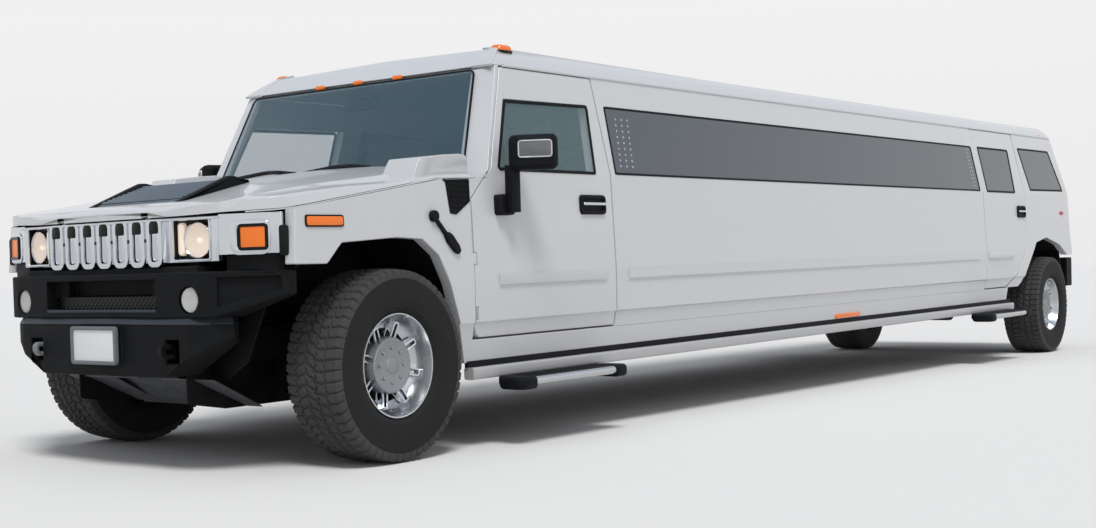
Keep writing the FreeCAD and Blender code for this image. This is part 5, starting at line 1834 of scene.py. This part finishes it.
@dataclass
class Sides:
    """Window seals, wing vents, bonnet latches, rails, steps and the long window's light dots.

    Attributes:
        fins: number of fins in a wing vent.
        fin_z: height of the uppermost fin.
        fin_pitch: distance between fins.
        latch_ends: station and height of the latch's boss and of the way to its grip.
        rail_x: distance of the light rail from the middle.
        rail_z: heights of its bottom and top.
        rail_y: stations of its ends.
        steps_at: stations of each running step's ends.
        step_x: distance of the steps' end blocks from the middle.
        edge_x: the same for the bright edge's middle.
        edge_z: height of the bright edge.
    """

    fins: int = 5
    fin_z: float = 1250.0
    fin_pitch: float = 26.0
    latch_ends: tuple[Pair, ...] = ((268.0, 1100.0), (440.0, 930.0))
    rail_x: float = 985.0
    rail_z: Pair = (325.0, 383.0)
    rail_y: Pair = (530.0, 8010.0)
    steps_at: tuple[Pair, ...] = ((700.0, 1620.0), (6990.0, 7960.0))
    step_x: float = 1098.0
    edge_x: float = 1152.0
    edge_z: float = 304.0

    def vents(self) -> tuple[Shell, list[Shell]]:
        """Wing vent behind the left front wheel; its fins shorten with the slanting rear edge.

        Returns:
            Its rim, and its dark back with the fins.
        """
        corners = [(372, 1262), (345, 1270), (548, 1277), (546, 1170), (440, 1108), (396, 1112)]
        seat, loop = skin_loop(corners, [4, 2, 6, 10, 8, 8], 3)
        plate = seat.put(frame_strip(loop, 9.0, -2, 5, 2.0))
        back = seat.put(slab(shrunk(loop, 5.0), -3, 1))
        fins = []
        for k in range(self.fins):
            z = self.fin_z - self.fin_pitch * k
            left, right = 392 + 3 * k, min(540, 546 - max(0, 1185 - z) * 1.6)
            fin = tablet(right - left, 12, 4.0, 3)
            fins.append(side_seat((left + right) / 2, z, 0.0).put(slab(fin, 0, 5, 2.0)))
        return plate, [back] + fins

    def latch(self) -> list[Shell]:
        """Rubber bonnet latch on the left wing.

        Returns:
            Its round boss, strap and grip.
        """
        start, end = np.array(self.latch_ends)
        lean = (end - start) / np.linalg.norm(end - start)
        x = side_seat(350, 1010).origin[0]
        seat = Seat((x, *start), (0, lean[0], lean[1]), (0, -lean[1], lean[0]))
        boss = seat.put(slab(circle(27, 24), -2, 20, 7.0))
        strap = rounded_outline([(0, -9), (150, -12), (150, 12), (0, 9)], 3.0, 3)
        grip = rounded_outline([(118, -16), (150, -24), (215, -22), (242, -12), (242, 12),
                                (215, 22), (150, 24), (118, 16)], 8.0, 3)
        return [boss, seat.put(slab(strap, 1, 12, 4.0)), seat.put(slab(grip, -1, 20, 6.0))]

    def rest(self) -> Shell:
        """Pale strip on the wing's top edge, which the bonnet comes down on.

        Returns:
            The strip, swept along the edge.
        """
        line = [(824, -716, 1123.4), (901, -660, 1127.0), (951, -586, 1134.3), (980, -486, 1149.5),
                (986, -250, 1186.6), (991, 100, 1239.6), (994, 342, 1275.6), (996, 590, 1285.6)]
        return swept(smooth_path(line, 40), tablet(16, 5.2, 1.0, 2))

    def rails(self) -> tuple[list[Shell], list[Shell]]:
        """Left light rail below the sill.

        Returns:
            The rail with its rounded edges, and the black channel that carries it.
        """
        z0, z1 = self.rail_z
        stations = np.linspace(*self.rail_y, 30)
        path = np.column_stack((np.full(30, self.rail_x), stations, np.full(30, (z0 + z1) / 2)))
        rail = swept(path, tablet(58, z1 - z0, 12.0, 5))
        hidden = path + (-14, 0, (z1 - z0) / 2 + 8)
        channel = swept(hidden, tablet(20, 44, 4.0, 3))
        return [rail], [channel]

    def steps(self) -> tuple[list[Shell], list[Shell]]:
        """Running steps on the left.

        Returns:
            Their black ends, pads and ribs, and the bright rounded edges between the ends.
        """
        darks, brights = [], []
        flat = Seat((0, 0, 0), (0, 1, 0), (-1, 0, 0))
        edge = rounded_outline([(-22, -23), (22, -20), (22, 16), (-22, 23)], [8, 16, 16, 8], 6)
        for y0, y1 in self.steps_at:
            middle, length = (y0 + y1) / 2, y1 - y0
            pad = tablet(length - 60, 150, 12.0, 4)
            darks.append(flat.put(slab(pad, 288, 326, 6.0)).moved(1078, middle, 0))
            for end, radii in ((y0 + 62, (46, 20, 20, 46)), (y1 - 50, (20, 46, 46, 20))):
                plan = tablet(124, 168, radii, 6)
                darks.append(flat.put(slab(plan, 266, 329, 20.0, 6, both_rims=True))
                             .moved(self.step_x, end, 0))
            for k in range(4):
                rib = tablet(length - 260, 10, 4.0, 3)
                darks.append(flat.put(slab(rib, 322, 330, 3.0)).moved(1030 + 26 * k, middle, 0))
            stations = np.linspace(y0 + 96, y1 - 84, 12)
            path = np.column_stack((np.full(12, self.edge_x), stations, np.full(12, self.edge_z)))
            brights.append(swept(path, edge))
        return darks, brights

    def dots(self) -> list[Shell]:
        """Small light dots at both ends of the long window: three rows in front, two behind.

        Returns:
            One disc for each dot.
        """
        spots = [(1893 + 0.15 * (z - 1376) + 60 * k, z) for z in np.linspace(1376, 1636, 9)
                 for k in range(3)]
        spots += [(7180 + 34 * k, z) for z in np.linspace(1372, 1672, 11) for k in range(2)]
        disc = slab(circle(6.5, 10), -1, 1.5, 0.6, 2)
        return [side_seat(y, z, 0.5).put(disc) for y, z in spots]

    def build(self) -> None:
        """Makes the side trim of both sides."""
        seals = Doors()
        fixed = [seals.seal(LONG_WINDOW, 12.0), seals.seal(QUARTER_WINDOW, 14.0)]
        rim, backs = self.vents()
        rails, channels = self.rails()
        make_piece("side_seals_and_vents", in_pairs(*fixed, rim, *backs, *channels),
                   BLACK)
        make_piece("light_rails", in_pairs(*rails), RAIL_IN_PAINTED_SHADE, replaces=["side_rails"])
        make_piece("bonnet_latches", in_pairs(*self.latch()), BLACK)
        make_piece("bonnet_rest_strips", in_pairs(self.rest()), WHITE)
        darks, brights = self.steps()
        make_piece("step_bodies", in_pairs(*darks), BLACK,
                   replaces=["running_steps"])
        make_piece("step_edges", in_pairs(*brights), WHEEL)
        make_piece("window_light_dots", in_pairs(*self.dots()), DOT)


# ---- windscreen and roof

@dataclass
class Screen:
    """Windscreen and seal, wipers, interior mirror, and the roof's small lamps and mouldings.

    Attributes:
        low: station and height of the glass at its foot.
        top: the same at its head.
        half_low: half width of the glass at its foot.
        half_top: half width at its head.
        wiper_points: pivot, arm's tip and blade's end of each wiper, on the glass.
        mirror: place of the interior mirror.
        lamp_xs: places of the roof's front lamps across.
        lamp_at: their station and height.
        drip: distance from the middle and height of the drip mouldings.
        drip_y: stations of their ends.
    """

    low: ClassVar[Pair] = (689.7, 1390.0)
    top: ClassVar[Pair] = (881.0, 1829.0)
    half_low: float = 884.0
    half_top: float = 796.0
    wiper_points: tuple[tuple[Pair, ...], ...] = (
        ((210, -38), (60, 4), (-190, -14)), ((-330, -38), (-480, 4), (-720, -14)))
    mirror: Place = (0.0, 905.0, 1742.0)
    lamp_xs: tuple[float, ...] = (-280.0, 0.0, 280.0)
    lamp_at: Pair = (888.0, 1853.0)
    drip: Pair = (890.0, 1860.0)
    drip_y: Pair = (985.0, 9395.0)

    @classmethod
    def slope(cls) -> float:
        """How far the screen goes rearward for each unit that it rises."""
        return (cls.top[0] - cls.low[0]) / (cls.top[1] - cls.low[1])

    def seat(self) -> Seat:
        """Seat on the outside of the windscreen: left, up along the glass, outward."""
        rise = (0.0, self.top[0] - self.low[0], self.top[1] - self.low[1])
        return Seat((0.0, self.low[0], self.low[1]), (1, 0, 0), rise)

    def corner(self) -> Shell:
        """Left corner of the roof's nose, a ruled sheet between the header and the roof's edge.

        Returns:
            The sheet, thickened along its outward direction.
        """
        header = np.array([(764, 896, 1858), (764, 976, 1914), (764, 1056, 1964),
                           (690, 1088, 1974)])
        edge = np.array([(889, 900, 1858), (852, 988, 1914), (806, 1066, 1960), (700, 1104, 1980)])
        outward = np.array((1.0, -2.0, 2.5)) * 1.4
        rows = np.stack((header + outward, edge + outward, edge - outward * 2,
                         header - outward * 2), axis=1)
        return surface(rows, capped=True)

    def wipers(self) -> list[Shell]:
        """Arm, blade and pivot cap of both wipers, which lie at the foot of the glass.

        Returns:
            The shells.
        """
        seat, wipers = self.seat(), []
        square = tablet(13, 10, 3.0, 3)
        for pivot, tip, end in self.wiper_points:
            arm = smooth_path([(*pivot, 22), ((pivot[0] + tip[0]) / 2, -8, 34), (*tip, 24)], 14)
            blade = smooth_path([(tip[0] + 200, tip[1] - 18, 14), (*tip, 17), (*end, 14)], 20)
            wipers += [seat.put(swept(arm, square)), seat.put(swept(blade, square * 1.5)),
                       seat.put(slab(circle(22, 20) + pivot, -4, 24, 7.0))]
        return wipers

    def build(self) -> None:
        """Makes the pieces."""
        seat = self.seat()
        height = math.dist(self.low, self.top)
        corners = [(-self.half_low, -50), (self.half_low, -50), (self.half_top, height + 14),
                   (-self.half_top, height + 14)]
        loop = rounded_outline(corners, 40.0, 6)
        band = seat.put(frame_strip(loop, 9.0, -2, 6, 2.0))
        make_piece("windscreen_seal", on_body(band), BLACK)
        pane = seat.put(slab(shrunk(loop, 6.0), 1, 5, 1.0, 2))
        make_piece("windscreen_pane", on_body(pane), CLEAR_GLASS,
                   replaces=["windscreen"])
        make_piece("wipers", on_body(*self.wipers()), GLOSS_BLACK)
        inside = Seat(self.mirror, (1, 0, 0), (0, 0.2, 1))
        glass = inside.put(slab(tablet(230, 64, 24.0, 5), -12, 12, 8.0))
        make_piece("interior_mirror", on_body(glass), GLOSS_BLACK)
        dome = tablet(64, 22, 10.0, 5)
        lamps = [Seat((x, *self.lamp_at), (1, 0, 0), (0, 0.43, 1)).put(slab(dome, -2, 12, 7.0))
                 for x in self.lamp_xs]
        make_piece("roof_front_lamps", on_body(*lamps), AMBER)
        make_piece("roof_corners", in_pairs(self.corner()), WHITE)
        ys, (x, z) = np.linspace(*self.drip_y, 40), self.drip
        path = np.column_stack((np.full_like(ys, x), ys, np.full_like(ys, z)))
        drip = swept(path, tablet(12, 16, 5.0, 4))
        make_piece("drip_mouldings", in_pairs(drip), WHITE)


# ---- rear

@dataclass
class Rear:
    """Tail lamp frames, marker lamps, blank plate and the tailgate's handle.

    Attributes:
        lamp: middle of the left tail lamp.
        lamp_size: width and height of its frame.
        bar_zs: heights of the bars across it, from its middle.
        plate: place of the rear plate.
        plate_size: its width and height.
        grip_size: width and height of the tailgate's grip.
        grip_up: how far the grip lies above the plate's middle.
        marker: station and height of the side marker lamps.
    """

    lamp: Place = (877.5, 9607.0, 1160.0)
    lamp_size: Pair = (104.0, 292.0)
    bar_zs: Pair = (-48.0, 46.0)
    plate: Place = (0.0, 9603.0, 1130.0)
    plate_size: Pair = (305.0, 152.0)
    grip_size: Pair = (240.0, 54.0)
    grip_up: float = 150.0
    marker: Pair = (9360.0, 1157.0)

    def build(self) -> None:
        """Makes the pieces; those on the tailgate ride on its body."""
        back = Seat(self.lamp, (-1, 0, 0), (0, 0.01, 1))
        frame = back.put(frame_strip(tablet(*self.lamp_size, 14.0, 5), 11.0, -6, 14, 4.0))
        bar = slab(tablet(self.lamp_size[0] - 20, 8, 3.0, 3), 0, 13, 3.0)
        bars = [back.put(bar.moved(0, z, 0)) for z in self.bar_zs]
        make_piece("tail_lamp_frames", in_pairs(frame, *bars), GLOSS_BLACK)
        gate, (width, height) = Seat(self.plate, (-1, 0, 0), (0, 0, 1)), self.plate_size
        plate = gate.put(slab(tablet(width, height, 8.0, 4), -3, 4, 1.5))
        make_piece("rear_plate", on_body(plate), PLATE_WHITE, Body.TAILGATE)
        rim = gate.put(frame_strip(tablet(width + 23, height + 23, 12.0, 4), 14.0, -6, 9, 3.0))
        grip = gate.put(slab(tablet(*self.grip_size, 18.0, 5), -5, 24, 10.0)
                        .moved(0, self.grip_up, 0))
        make_piece("tailgate_grip", on_body(rim, grip), BLACK, Body.TAILGATE)
        mark = side_seat(*self.marker).put(slab(tablet(86, 30, 8.0, 4), -2, 8, 3.0))
        make_piece("side_marker_lamps", in_pairs(mark), RED)
        top = Seat((862, 9174, 1880), (0.92, 0, -0.4), (0, 1, 0))
        lamp = top.put(slab(tablet(26, 60, 9.0, 4), -4, 9, 5.0))
        make_piece("rear_roof_markers", in_pairs(lamp), AMBER)


def main() -> None:
    """Loads the frame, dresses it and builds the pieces."""
    logging.basicConfig(level=logging.INFO, format="%(name)s: %(message)s")
    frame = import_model()
    dress_nodes(frame)
    for eased in EASED:
        eased.build(frame["nodes"])
    for part in (*WHEELS, Grille(), BonnetVent(), Lamps(), Bumper(), Doors(), Sides(), Screen(),
                 Rear()):
        part.build()
    Studio().build()


if __name__ == "__main__":
    main()
